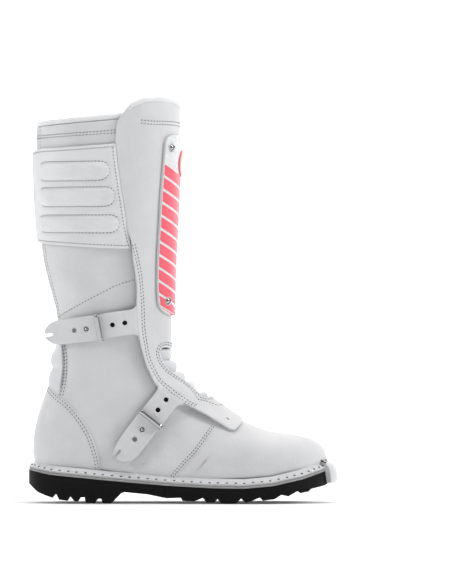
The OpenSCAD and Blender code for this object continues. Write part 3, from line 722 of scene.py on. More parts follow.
@dataclass(frozen=True)
class Thread:
    """Waxed sewing thread with its twist."""

    name: str
    tone: tuple = (0.62, 0.62, 0.61)

    def make(self) -> bpy.types.Material:
        """Builds the material."""
        m = Shader(self.name)
        twist = m.node("ShaderNodeTexWave", {"bands_direction": "DIAGONAL"},
                       {"Vector": m.place, "Scale": 260.0, "Distortion": 1.0}, "Fac")
        # Painted shade: the grooves of the twist, where its bump dips, are darkened to 70% of the tone.
        base = m.mix(twist, rgb(*(c * 0.7 for c in self.tone)), rgb(*self.tone))
        m.set(Base_Color=base, Roughness=twist * 0.1 + 0.6, Normal=m.bump(twist, 0.0001))
        return m.material


class Finish(Enum):
    """The finishes of the boot."""

    LEATHER = Leather("white_leather")
    # Painted light: the calf flap's white leather is made lighter than the rest to make up for the shade it
    # sits in.
    FLAP = Leather("flap_leather", (0.74, 0.745, 0.755), gloss=0.4)
    STRAP = Leather("strap_leather", (0.67, 0.675, 0.685), 1900.0, 0.00012, 0.36, 0.25)
    FOLD = Leather("fold_leather", (0.71, 0.72, 0.74), 1500.0, 0.00022, 0.46, 1.0)
    BINDING = Leather("binding_leather", (0.76, 0.765, 0.775), 2200.0, 0.0001, 0.38, 0.3)
    WELT = Leather("welt_leather", (0.5, 0.5, 0.5), 900.0, 0.0004, 0.5, 0.8)
    RUBBER = Rubber("black_rubber")
    MIDSOLE = Rubber("grey_edge", (0.36, 0.36, 0.36), (0.16, 0.16, 0.16), 0.6)
    CHROME = Metal("chrome", (0.48, 0.48, 0.49), 0.14)
    STEEL = Metal("steel", (0.55, 0.55, 0.57), 0.28, 0.15)
    GUARD = Plastic("guard_paint", (0.63, 0.64, 0.65), 0.3)
    PLATE = Plastic("plate_white", (0.69, 0.71, 0.71), 0.25)
    RED = Plastic("band_red", (0.86, 0.09, 0.14), 0.3)
    GREEN = Plastic("ring_green", (0.02, 0.45, 0.2), 0.3)
    LINING = Cloth("grey_lining", (0.55, 0.55, 0.54), (0.36, 0.36, 0.36))
    FOAM = Cloth("footbed_cloth", (0.1, 0.1, 0.11), (0.03, 0.03, 0.035), 1.6)
    TAPE = Cloth("touch_tape", (0.05, 0.05, 0.055), (0.01, 0.01, 0.012), 0.8, 0.0006)
    BOARD = Cloth("fibre_board", (0.5, 0.36, 0.22), (0.36, 0.25, 0.15), 2.0, 0.0001)
    THREAD = Thread("white_thread", (0.66, 0.66, 0.67))
    # Near-black of painted shade, for needle holes and the welt's notches.
    HOLE = Rubber("needle_hole", (0.03, 0.03, 0.032), (0.06, 0.06, 0.06), 0.8)
    DARK = Rubber("shadow_black", (0.01, 0.01, 0.01), (0.02, 0.02, 0.02), 0.7)

    @property
    def material(self) -> bpy.types.Material:
        """The material, made when it is first asked for."""
        if self.name not in MADE:
            MADE[self.name] = self.value.make()
        return MADE[self.name]


MADE: dict[str, bpy.types.Material] = {}


# ---------------------------------------------------------------- layers on the form


ROUNDING = ((0.0, 1.0), (0.134, 0.5), (0.5, 0.134), (1.0, 0.0))


def inside(points: Array, loop: Array) -> Array:
    """Which flat points lie inside a flat loop."""
    out = np.zeros(len(points), bool)
    x, y = points[:, 0], points[:, 1]
    for (ax, ay), (bx, by) in zip(loop, np.roll(loop, -1, 0)):
        if ay == by:
            continue
        cross = (ay > y) != (by > y)
        out ^= cross & (x < (bx - ax) * (y - ay) / (by - ay) + ax)
    return out


def nearest(points: Array, others: Array) -> Array:
    """Distance from each point to the nearest of the others."""
    out = np.full(len(points), 1e9)
    for k in range(0, len(points), 2000):
        block = points[k:k + 2000, None] - others[None]
        out[k:k + 2000] = np.sqrt((block * block).sum(2).min(1))
    return out


def within(points: Array, flats: Sequence[Array]) -> Array:
    """Tells which points lie in the first loop and outside the others, which are holes."""
    keep = inside(points, flats[0])
    for hole in flats[1:]:
        keep &= ~inside(points, hole)
    return keep


def triangles(flats: Sequence[Array], grid: Array) -> tuple[Array, Array, dict[int, int]]:
    """Triangulates flat loops and the points between them.

    Args:
        flats: The outline and then its holes.
        grid: Points inside.

    Returns:
        The points, the triangles, and where each point of the loops went.
    """
    points = np.vstack([*flats, grid])
    links, start = [], 0
    for flat in flats:
        n = len(flat)
        links += [(start + i, start + (i + 1) % n) for i in range(n)]
        start += n
    coords, _, found, origin, _, _ = delaunay_2d_cdt([Vector(p) for p in points], links, [], 1, 1e-5)
    coords = np.array([tuple(c) for c in coords])
    tris = np.array([t for t in found if len(t) == 3])
    tris = tris[within(coords[tris].mean(1), flats)]
    return coords, tris, {old: new for new, olds in enumerate(origin) for old in olds}


def thickened(top: Array, bottom: Array, tris: Array, core: dict[int, int], rings: Sequence[Sequence[Array]],
              over: Callable[[Array, float], Array], under: Callable[[Array], Array]) -> Mesh:
    """Closes sheet material with a rounded edge round each loop.

    Args:
        top: Points of the outer face.
        bottom: Points of the inner face.
        tris: Triangles of the outer face.
        core: Where each point of the loops went.
        rings: For each loop, its lines from the very edge inwards.
        over: Points of a line on the outer face, lowered by a share of the rounding.
        under: Points of a line on the inner face.

    Returns:
        A closed mesh.
    """
    n_core = len(top)
    verts = [top, bottom]
    faces = tris.tolist() + (tris[:, ::-1] + n_core).tolist()
    count, first = 2 * n_core, 0
    for ring in rings:
        n = len(ring[0])
        inmost = [core[first + i] for i in range(n)]
        first += n
        lines = [under(ring[0])] + [over(line, drop) for (_, drop), line in list(zip(ROUNDING, ring))[:3]]
        chain = [[n_core + i for i in inmost]]
        for line in lines:
            verts.append(line)
            chain.append([count + i for i in range(n)])
            count += n
        chain.append(inmost)
        for lower, upper in zip(chain, chain[1:]):
            faces += [(lower[i], lower[(i + 1) % n], upper[(i + 1) % n], upper[i]) for i in range(n)]
    return Mesh().add(np.vstack(verts), faces)


def area(loop: Array) -> float:
    """Signed area of a flat loop."""
    nxt = np.roll(loop, -1, 0)
    return float((loop[:, 0] * nxt[:, 1] - nxt[:, 0] * loop[:, 1]).sum() / 2)


def closed_loop(*parts: Array, step: float = 1.5) -> Array:
    """Lines of section and angle joined to one loop, at even steps."""
    line = np.vstack(parts)
    return spaced(line, FORM.skin(line[:, 0], line[:, 1]), step, True)


Lift = Callable[[Array, Array], Array]


def level(s: Array, a: Array) -> Array:
    """No lift."""
    return np.zeros(np.shape(s))


@dataclass
class Layer:
    """Sheet material cut to an outline and laid on the form, with rounded edges."""

    loop: Array
    inner: float
    outer: float
    edge: float = 0.8
    pitch: float = 2.4
    lift: Lift = level
    swell: Lift = level
    holes: tuple[Array, ...] = ()
    rows: tuple[Array, ...] = ()

    def mesh(self) -> Mesh:
        """Triangulates the outline and gives it its thickness.

        Returns:
            A closed mesh.
        """
        loops = []
        for k, loop in enumerate((self.loop, *self.holes)):
            turned = (area(FORM.flatten(loop)) > 0) == (k == 0)
            loops.append(loop if turned else loop[::-1])
        rings = [[FORM.walk(loop, e * self.edge, True) for e, _ in ROUNDING] for loop in loops]
        flats = [FORM.flatten(r[-1]) for r in rings]
        edge_points = np.vstack(flats)
        low, high = edge_points.min(0), edge_points.max(0)
        xs = np.arange(low[0], high[0], self.pitch)
        ys = np.arange(low[1], high[1], self.pitch * 0.866)
        gx, gy = np.meshgrid(xs, ys)
        gx = gx + (np.arange(len(ys)) % 2)[:, None] * self.pitch / 2
        grid = np.stack([gx.ravel(), gy.ravel()], -1)
        grid = grid[within(grid, flats)]
        extra = [FORM.flatten(r) for r in self.rows]
        if len(grid):
            grid = grid[nearest(grid, np.vstack([edge_points] + extra)) > self.pitch * 0.6]
        for row in extra:
            keep = inside(row, flats[0]) & (nearest(row, edge_points) > 0.4)
            grid = np.vstack([grid, row[keep]])
        coords, tris, core = triangles(flats, grid)
        spots = FORM.unflatten(coords)
        s, a = spots[:, 0], spots[:, 1]
        up = self.lift(s, a)

        def face(line: Array, d: float) -> Array:
            """Points of a line at a height, with the lift."""
            return FORM.place(line[:, 0], line[:, 1], d + self.lift(line[:, 0], line[:, 1]))

        return thickened(FORM.place(s, a, self.outer + up + self.swell(s, a)),
                         FORM.place(s, a, self.inner + up), tris, core, rings,
                         lambda line, drop: face(line, self.outer - drop * self.edge),
                         lambda line: face(line, self.inner))


@dataclass
class Seam:
    """Rows of stitches with a needle hole of painted shade at the end of each stitch."""

    threads: Mesh = field(default_factory=Mesh)
    punched: Mesh = field(default_factory=Mesh)

    def row(self, line: Array, d: float, lift: Lift = level, pitch: float = 3.5,
            closed: bool = False) -> None:
        """Adds a row along a line of section and angle, at a distance d."""
        s, a = line[:, 0], line[:, 1]
        path, up = FORM.place(s, a, d + lift(s, a)), FORM.normal(s, a)
        self.threads.merge(stitches(path, up, pitch, pitch - 1.3, 0.26, closed))
        self.punched.merge(needle_holes(path, up, pitch, closed))

    def pieces(self, name: str) -> tuple[bpy.types.Object, bpy.types.Object]:
        """The threads and the holes as two pieces."""
        return (piece(name + "_stitches", self.threads, Finish.THREAD, 80),
                piece(name + "_needle_holes", self.punched, Finish.HOLE, 80))


def needle_holes(path: Array, up: Array, pitch: float, closed: bool = False) -> Mesh:
    """Small dark dimples of painted shade where the stitches of a row enter the leather."""
    both = spaced(np.hstack([path, up]), path, pitch, closed)
    a, n = both[:, :3], unit(both[:, 3:])
    run = unit(np.roll(a, -1, 0) - np.roll(a, 1, 0)) if closed else unit(np.gradient(a, axis=0))
    across = unit(np.cross(run, n))
    back = a - run * 0.4
    t = np.arange(7) * 2 * math.pi / 7
    pts = [back[:, None] + n[:, None] * h + (run[:, None] * np.cos(t)[None, :, None] * 0.62
           + across[:, None] * np.sin(t)[None, :, None] * 0.52) * r
           for h, r in ((-0.35, 1.0), (0.16, 1.0), (0.22, 0.6))]
    grid = np.stack(pts, 1)
    block = grid_faces(3, 7, True) + [list(range(7))[::-1], [14 + i for i in range(7)]]
    faces = [[k * 21 + i for i in f] for k in range(len(a)) for f in block]
    return Mesh().add(grid, faces)


def piece(name: str, mesh: Mesh, finish: Finish, sharp: float = 42.0) -> bpy.types.Object:
    """Makes an object of the scene.

    Args:
        name: The piece's name.
        mesh: Its mesh, in millimetres.
        finish: Its finish.
        sharp: Edges sharper than this, in degrees, are left hard.

    Returns:
        The object.
    """
    data = bpy.data.meshes.new(name)
    data.from_pydata((np.concatenate(mesh.verts) * MM).tolist(), [], mesh.faces)
    edit = bmesh.new()
    edit.from_mesh(data)
    bmesh.ops.remove_doubles(edit, verts=edit.verts, dist=2e-6)
    bmesh.ops.recalc_face_normals(edit, faces=edit.faces)
    edit.to_mesh(data)
    edit.free()
    data.shade_smooth()
    data.set_sharp_from_angle(angle=math.radians(sharp))
    data.materials.append(finish.material)
    made = bpy.data.objects.new(name, data)
    bpy.context.scene.collection.objects.link(made)
    log.info("%s: %d faces, %s", name, len(data.polygons), finish.name.lower())
    return made


def bends(*pieces: bpy.types.Object) -> None:
    """Bakes the pieces' placement into their meshes."""
    for each in pieces:
        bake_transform(each)


def rides(body: str, *pieces: bpy.types.Object) -> None:
    """Fixes pieces to one body."""
    for each in pieces:
        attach(each, body)


def slotted(head: float, height: float, slot: float) -> Mesh:
    """Domed screw head with a straight slot, standing on z = 0."""
    r = head / 2
    profile = [(0, -1.5), (r, -1.5), (r, 0.25 * height)]
    profile += [(r * math.cos(t), height * (0.25 + 0.75 * math.sin(t))) for t in np.linspace(0.15, 1.45, 9)]
    profile += [(0, height)]
    verts, faces = lathe(profile, 48)
    mesh = bpy.data.meshes.new("head")
    mesh.from_pydata(verts.tolist(), [], faces)
    edit = bmesh.new()
    edit.from_mesh(mesh)
    for y in (-slot / 2, slot / 2, 0.03 - slot / 2, slot / 2 - 0.03):
        bmesh.ops.bisect_plane(edit, geom=edit.verts[:] + edit.edges[:] + edit.faces[:], dist=1e-5,
                               plane_co=(0, y, 0), plane_no=(0, 1, 0))
    for v in edit.verts:
        if abs(v.co.y) < slot / 2 - 0.02 and v.co.z > height * 0.3:
            v.co.z = height * 0.35
    edit.verts.index_update()
    out = Mesh().add(np.array([tuple(v.co) for v in edit.verts]),
                     [[v.index for v in f.verts] for f in edit.faces])
    edit.free()
    bpy.data.meshes.remove(mesh)
    return out


def stood(mesh: Mesh, origin: Array, x: Array, z: Array) -> Mesh:
    """The mesh moved into a frame with the given origin, x direction and z direction."""
    z = unit(z)
    x = unit(x - z * (x @ z))
    turn = np.stack([x, np.cross(z, x), z])
    return Mesh([np.concatenate(mesh.verts) @ turn + origin], list(mesh.faces), mesh.count)


def spot_frame(point: tuple[float, float], angle: float, d: float, inner: bool = False) -> tuple:
    """Origin, x and z of a frame that stands on the form at a side-view point."""
    turn = math.radians(angle)
    goal = np.array([point, (point[0] + math.cos(turn), point[1] + math.sin(turn))])
    near = goal.copy()
    for _ in range(4):
        st = FORM.locate(near)
        a = FORM.place(st[:, 0], st[:, 1], d)
        near = near + goal - a[:, (0, 2)]
    n = FORM.normal(st[:1, 0], st[:1, 1])[0]
    o, x = a[0], a[1] - a[0]
    if inner:
        flip = np.array([1, -1, 1])
        o, x, n = o * flip, x * flip, n * flip
    return o, unit(x), n


# ---------------------------------------------------------------- sole


def flat_cap(loop: Array, height: Callable[[Array], Array], pitch: float, down: bool) -> Mesh:
    """Triangulated lid over a plan outline, with its height by x."""
    xs = np.arange(loop[:, 0].min(), loop[:, 0].max(), pitch)
    ys = np.arange(loop[:, 1].min(), loop[:, 1].max(), pitch)
    grid = np.stack(np.meshgrid(xs, ys), -1).reshape(-1, 2)
    grid = grid[inside(grid, loop)]
    grid = grid[nearest(grid, loop) > pitch * 0.5]
    points = np.vstack([loop, grid])
    n = len(loop)
    coords, _, tris, _, _, _ = delaunay_2d_cdt([Vector(p) for p in points],
                                               [(i, (i + 1) % n) for i in range(n)], [], 1, 1e-5)
    c = np.array([tuple(p) for p in coords])
    faces = [t[::-1] if down else t for t in tris]
    return Mesh().add(np.column_stack([c, height(c[:, 0])]), faces)


def outset(loop: Array, distance: float) -> Array:
    """Counter-clockwise plan outline moved outwards."""
    run = unit(np.roll(loop, -1, 0) - np.roll(loop, 1, 0))
    return loop + distance * np.stack([run[:, 1], -run[:, 0]], -1)


def plan_layer(loop: Array, profile: Points, base: Callable[[Array], Array], pitch: float = 6.0) -> Mesh:
    """Closed layer whose edge follows a profile.

    Args:
        loop: Counter-clockwise plan outline.
        profile: Pairs of outset and height above the base, from the bottom up.
        base: Height of the base by x.
        pitch: Spacing of the lids' points.

    Returns:
        The mesh.
    """
    rings = []
    for out, up in profile:
        ring = outset(loop, out)
        rings.append(np.column_stack([ring, base(ring[:, 0]) + up]))
    mesh = Mesh().add(np.stack(rings), grid_faces(len(rings), len(loop), True))
    (o0, h0), (o1, h1) = profile[0], profile[-1]
    mesh.merge(flat_cap(outset(loop, o0), lambda x: base(x) + h0, pitch, True))
    return mesh.merge(flat_cap(outset(loop, o1), lambda x: base(x) + h1, pitch, False))


@dataclass
class Sole:
    """Cleated rubber sole, pale midsole and stitched welt."""

    tread: tuple = (
        (-154, 19.8), (-145, 11.5), (-137, 8.2), (-129.5, 5.7), (-126, 9.6), (-123, 4), (-114.5, 2.9),
        (-112, 7.5), (-108, 2.6), (-104, 2.3), (-101.5, 6.5), (-97.5, 6.3), (-96.5, 1.2), (-87.5, 0.3),
        (-84, 5), (-81, 5), (-79.5, 0.3), (-71, 0.3), (-61, 10.5), (-57.5, 11.5), (-34.5, 9.2), (-18.6, 6),
        (-15.5, 5.5), (-2, 6), (0, 3), (11.5, 2.5), (20, 6), (23.5, 1.4), (31.5, 1.4), (34.5, 5), (38.5, 0.3),
        (53, 0.3), (58, 5.5), (62.5, 1.2), (68, 2.8), (76.5, 6.5), (79.5, 3.3), (91.5, 4.8), (98, 9),
        (105, 7.5), (114, 12.5), (117, 10.5), (125.5, 12), (127.5, 14.5), (142, 17.6), (145.5, 19.8))
    split: float = -17.5
    grooves: tuple = (-0.62, -0.2, 0.2, 0.62)
    pitch: float = 8.8
    flare: tuple = ((-6.4, 9.6, 0.0), (-5.3, 8.3, 0.1), (-4.3, 7.0, 0.4), (-3.3, 6.1, 0.7), (-2.2, 5.5, 0.7),
                    (-1.2, 5.1, 0.4), (-0.5, 4.8, 0.1), (-0.2, 4.4, 0.0), (-0.4, 3.9, 0.0), (-1.2, 3.6, 0.0))

    def __post_init__(self) -> None:
        """Works out the outline."""
        loop = spline(SOLE_OUTLINE, 12, True)[::-1]
        self.loop = spaced(loop, loop, 2.2, True)

    def sides(self, x: Array) -> tuple[Array, Array]:
        """Outer and inner side of the outline at x."""
        tail, nose = int(np.argmin(self.loop[:, 0])), int(np.argmax(self.loop[:, 0]))
        turned = np.roll(self.loop, -tail, 0)
        nose = (nose - tail) % len(turned)
        a, b = turned[:nose + 1], np.vstack([turned[nose:], turned[:1]])[::-1]
        low = np.interp(x, np.maximum.accumulate(a[:, 0]), a[:, 1])
        high = np.interp(x, np.maximum.accumulate(b[:, 0]), b[:, 1])
        return np.minimum(low, high), np.maximum(low, high)

    def rubber(self) -> Mesh:
        """The rubber, cut across by the tread and along by grooves."""
        line = np.array(self.tread)
        x0, x1 = line[0, 0], line[-1, 0]
        ends = (1 - np.cos(np.linspace(0, math.pi / 2, 14))) * 9
        xs = np.concatenate([line[:, 0], np.arange(x0 + 4, x1 - 4, 2.2), x0 + ends, x1 - ends,
                             [self.split - 0.5, self.split - 0.3, self.split + 0.3, self.split + 0.5]])
        xs = np.unique(np.round(xs, 2))
        xs = xs[np.concatenate([[True], np.diff(xs) > 0.12])]
        low, high = self.sides(xs)
        middle, half = (low + high) / 2, np.maximum((high - low) / 2, 0.05)
        half = half - 0.7 * (np.abs(xs - self.split) < 0.35)
        z = np.interp(xs, line[:, 0], line[:, 1])
        cols, rise = [-1.0, -0.985, -0.95], [1.3, 0.35, 0.0]
        for g in self.grooves:
            cols += [g - 0.075, g - 0.055, g, g + 0.055, g + 0.075]
            rise += [0.0, 2.6, 3.2, 2.6, 0.0]
        cols += [0.95, 0.985, 1.0]
        rise += [0.0, 0.35, 1.3]
        cols, rise = np.array(cols), np.array(rise)
        zig = 0.03 * np.sin(xs * 0.45)[:, None] * (np.abs(cols) < 0.9)[None]
        y = middle[:, None] - half[:, None] * (cols[None] + zig)
        x = np.broadcast_to(xs[:, None], y.shape)
        top = rubber_top(xs)
        rise = np.broadcast_to(rise, y.shape) * np.clip((half[:, None] - 3) / 12, 0, 1)
        bottom = np.minimum(z[:, None] + rise, top[:, None] - 1.5)
        under = np.stack([x, y, bottom], -1)
        over = np.stack([x, y, np.broadcast_to(top[:, None], y.shape)], -1)
        return wall(over, under)

    def midsole(self) -> Mesh:
        """The pale layer on the rubber."""
        return plan_layer(self.loop, ((-4, 0.05), (-0.9, 0.05), (-0.3, 0.3), (-0.1, 1.1), (-0.3, 2.0),
                                      (-0.8, 2.35), (-4, 2.4)), rubber_top)

    def welt(self) -> Mesh:
        """Leather strip on which the upper stands."""
        rings = []
        profile = ((-6.5, 2.6), (-0.8, 2.6), (-0.3, 2.8), (-0.1, 3.2), (-0.3, 3.7), (-0.8, 4.0), (-6.5, 4.2))
        for out, up in profile:
            ring = outset(self.loop, out)
            rings.append(np.column_stack([ring, rubber_top(ring[:, 0]) + up]))
        stack = np.stack(rings + rings[:1])
        return Mesh().add(stack, grid_faces(len(stack), len(self.loop), True))

    def rope(self) -> tuple[Mesh, Mesh]:
        """Bulging welt drawn in by its stitches, and the stitches as dark marks of painted shade in their
        notches.
        """
        fine = spaced(self.loop, self.loop, 0.6, True)
        base = rubber_top(fine[:, 0])
        run = np.concatenate([[0], np.cumsum(np.linalg.norm(np.diff(fine, axis=0), axis=1))])
        total = run[-1] + np.linalg.norm(fine[0] - fine[-1])
        count = round(total / self.pitch)
        phase = (run / total * count) % 1
        gap = np.minimum(phase, 1 - phase) * self.pitch
        pull = np.exp(-(gap / 1.3) ** 2)
        rng = np.random.default_rng(4)
        rough = np.convolve(rng.normal(0, 0.12, len(fine) + 8), np.ones(5) / 5, "same")[4:-4]
        lines = []
        for out, up, give in self.flare:
            flat = outset(fine, out)
            lines.append(np.column_stack([flat, base + up + rough * (up < 6) - give * pull]))
        grid = np.stack(lines)
        rope = Mesh().add(grid, grid_faces(len(grid), len(fine), True, flip=True))
        # Painted shade: the dark tubes along each stitch stand for the shadow in the notch it pulls into the
        # welt.
        thread = Mesh()
        side = outset(fine, 1.0) - fine
        flat = outset(fine, -2.7)
        for k in range(count):
            i = int(np.argmin(np.abs(run - k * total / count)))
            n = unit(np.array([side[i, 0], side[i, 1], 0.0]))
            p = np.array([flat[i, 0], flat[i, 1], base[i] + 5.35])
            along = unit(np.array([*(flat[(i + 1) % len(flat)] - flat[i - 1]), 0.0]))
            reach = np.linspace(-1, 1, 9)
            arc = [p + along * (1.35 * r) + n * (0.5 - 1.1 * abs(r)) + np.array([0, 0, 0.05 + 0.75 * abs(r)])
                   for r in reach]
            thread.merge(tube(np.array(arc), 0.5 * (1.05 - np.abs(reach) ** 2), 6))
        return rope, thread

    def build(self) -> None:
        """Makes the sole's pieces."""
        rubber = piece("sole_rubber", self.rubber(), Finish.RUBBER, 30)
        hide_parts("outsole_heel", "outsole_forefoot")
        midsole = piece("midsole_edge", self.midsole(), Finish.MIDSOLE, 50)
        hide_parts("midsole")
        welt = piece("welt_strip", self.welt(), Finish.WELT, 50)
        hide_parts("welt")
        rope, thread = self.rope()
        rides("foot", rubber, midsole, welt, piece("stitched_down_edge", rope, Finish.LEATHER, 80),
              piece("welt_notch_shades", thread, Finish.HOLE, 80))


@dataclass
class ToeGuard:
    """Metal guard wrapped round the front of the sole, with its screws and rings of painted shade round them.
    """

    start: float = 145.6
    wall: float = 3.2
    nose: float = 9.6
    spots: tuple = (-17.0, 0.0, 17.0)

    def section(self, reach: float) -> list[tuple[float, float]]:
        """Profile of the guard: outset from the sole's edge and height."""
        front = ((0.4, 19.6), (0.68, 20.0), (0.84, 21.4), (0.95, 24.2), (1, 28.5), (0.99, 33.0), (0.9, 36.6),
                 (0.76, 38.8), (0.55, 40.2))
        return [(0.5, 20.6), *((reach * share, z) for share, z in front), (0.2, 42.2), (-3.4, 43.2),
                (-4.0, 43.0), (-4.1, 42.2), (-3.6, 41.7), (-0.4, 40.0), (0.5, 38.0)]

    def build(self, loop: Array) -> None:
        """Makes the guard and its screws on the sole's outline."""
        keep = loop[loop[:, 0] > self.start - 16]
        order = np.argsort(keep[:, 1])
        arc = keep[order]
        arc = spaced(arc, arc, 1.2)
        run = unit(np.gradient(arc, axis=0))
        out = np.stack([run[:, 1], -run[:, 0]], -1)
        mask = arc[:, 0] > self.start - 3.4
        arc, out = arc[mask], out[mask]
        tip = np.clip((arc[:, 0] - 140) / 5.5, 0, 1)
        rows = []
        for p, n, t in zip(arc, out, tip):
            reach = self.wall + (self.nose - self.wall) * t
            row = []
            for o, z in self.section(reach):
                lean = (27 - z) * 0.14
                row.append((p[0] + n[0] * o + lean, p[1] + n[1] * o, z - (1 - t) * (z - 20) * 0.2))
            rows.append(row)
        grid = np.array(rows)
        n, m = grid.shape[:2]
        faces = grid_faces(n, m, True) + [list(range(m)), [(n - 1) * m + i for i in range(m)][::-1]]
        guard = piece("toe_guard_shell", Mesh().add(grid, faces), Finish.GUARD, 50)
        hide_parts("toe_guard")
        heads, well_shades = Mesh(), Mesh()
        # Painted shade: a flat dark ring round each screw head stands for the shadow in its well.
        ring = [(0.0, -0.6), (2.9, -0.6), (3.0, 0.1), (2.6, 0.32), (0.0, 0.32)]
        for y in self.spots:
            i = int(np.argmin(np.abs(arc[:, 1] - y)))
            n3 = np.array([out[i, 0] * 0.42, out[i, 1] * 0.42, 0.9])
            spot = np.array([arc[i, 0] - out[i, 0] * 1.9, arc[i, 1] - out[i, 1] * 1.9, 41.4])
            verts, faces = lathe(ring, 32)
            well_shades.merge(stood(Mesh().add(verts, faces), spot, np.array([1.0, 0.3, 0]), n3))
            heads.merge(stood(slotted(4.4, 1.1, 0.7), spot + unit(n3) * 0.25, np.array([0.6, 1.0, 0]), n3))
        screws = piece("toe_guard_screw_heads", heads, Finish.CHROME, 40)
        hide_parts("toe_guard_screws")
        rides("foot", guard, screws, piece("toe_guard_well_shades", well_shades, Finish.DARK, 40))


# ---------------------------------------------------------------- upper


PANEL_SIDE = ((-63.5, 381), (-65.2, 375), (-66.4, 366), (-66.6, 357.5), (-65, 343.5), (-62, 320.5),
              (-57.4, 290), (-54.3, 271.5), (-50.6, 259.5), (-49.4, 244), (-46.7, 229), (-45.2, 213.5),
              (-45.7, 199.7), (-45.5, 182), (-43.5, 166), (-37.5, 143), (-31.4, 128), (-25, 117),
              (-12.5, 108.6), (-1.4, 102.1), (8.8, 96.7), (19, 91.3), (29.3, 85.9), (39.5, 80.9), (46, 77.6),
              (52, 76.4), (58, 78.6))
LIP_TOP = ((-5.6, 396), (-13, 402), (-25, 404), (-40, 402.5), (-50, 398), (-57, 391.5), (-62.2, 384))
COLLAR_TOP = ((-5.6, 388), (-35, 386), (-62, 383.5), (-90, 381), (-120, 378.5), (-146.4, 376.5))
FOLD_EDGE = ((-13.9, 154), (-19, 155.4), (-22.6, 154), (-23.7, 150), (-22, 143), (-18, 136.5), (-13, 131),
             (0, 121), (11, 111.7), (18.5, 105.8), (22.6, 104.6), (25.5, 105.4))
PANEL_SEAM_SIDE = ((-48.6, 257), (-46, 246.2), (-43.4, 234.3), (-41.7, 223.5), (-40.7, 211.5), (-39.9, 201.8),
                   (-39.3, 187.7), (-38.7, 172.5), (-36.6, 158.4), (-34.2, 145.4), (-29.4, 134.2),
                   (-22.8, 122.8), (-13.8, 114.6), (-5.4, 108.2), (2.6, 102.6), (12.8, 97.2))
COUNTER_EDGE = ((-134.5, 118.5), (-126, 109.5), (-112.5, 98.5), (-102, 86), (-94, 73.6), (-88, 60),
                (-83.4, 44.5), (-81, 30))
GUSSET_EDGE = ((-121.2, 158), (-119.7, 148), (-119.4, 138), (-120.4, 124), (-123.4, 108))


def beneath(points: Points, height: float, top: float) -> Points:
    """Side-view points on the form under points that stand off it.

    Args:
        points: Where the raised points show from the side.
        height: Their height above the form.
        top: Section above which the height fades to the panel's own.

    Returns:
        The points of the form below them.
    """
    goal = np.array(points, float)
    near = goal.copy()
    for _ in range(6):
        st = FORM.locate(near)
        rise = 2.7 + height * np.clip((top - st[:, 0]) / 1.6, 0, 1)
        step = goal - FORM.place(st[:, 0], st[:, 1], rise)[:, (0, 2)]
        near = near + 0.7 * step * (st[:, 1] > 30)[:, None]
    move = np.clip(near - goal, -4.5, 4.5)
    return tuple(map(tuple, goal + move))


PANEL_EDGE = beneath(PANEL_SIDE, 4.2, 25.4)
PANEL_SEAM = beneath(PANEL_SEAM_SIDE, 2.0, 25.4)


def ridge(line: Points, a: Array) -> Array:
    """Section of a top line at given angles, the same on both sides."""
    st = FORM.locate(line)
    order = np.argsort(st[:, 1])
    turn = np.abs((np.asarray(a) + 180) % 360 - 180)
    return np.interp(turn, st[order, 1], st[order, 0])


class PanelLift:
    """Height of the front panel's free edge above the leather."""

    def __init__(self, height: float = 4.4, reach: float = 20.0) -> None:
        """Keeps the edge line and the sizes."""
        self.line = FORM.trace(PANEL_EDGE, 3.0)
        self.edge = FORM.skin(self.line[:, 0], self.line[:, 1])
        self.height, self.reach = height, reach

    def __call__(self, s: Array, a: Array) -> Array:
        """Lift at a section and angle."""
        s, a = np.asarray(s, float), np.asarray(a, float)
        far = nearest(FORM.skin(s, a), self.edge)
        beyond = a > np.interp(s, self.line[::-1, 0], self.line[::-1, 1])
        u = np.where(beyond, 1.0, np.clip(1 - far / self.reach, 0, 1))
        fade = np.clip((25.4 - s) / 1.6, 0, 1)
        tip = np.clip((s - 6.4) / 1.5, 0.2, 1)
        return self.height * u ** 2 * fade * fade * (3 - 2 * fade) * tip


LIFT = PanelLift()
PANEL_INNER, PANEL_OUTER = 0.75, 2.75


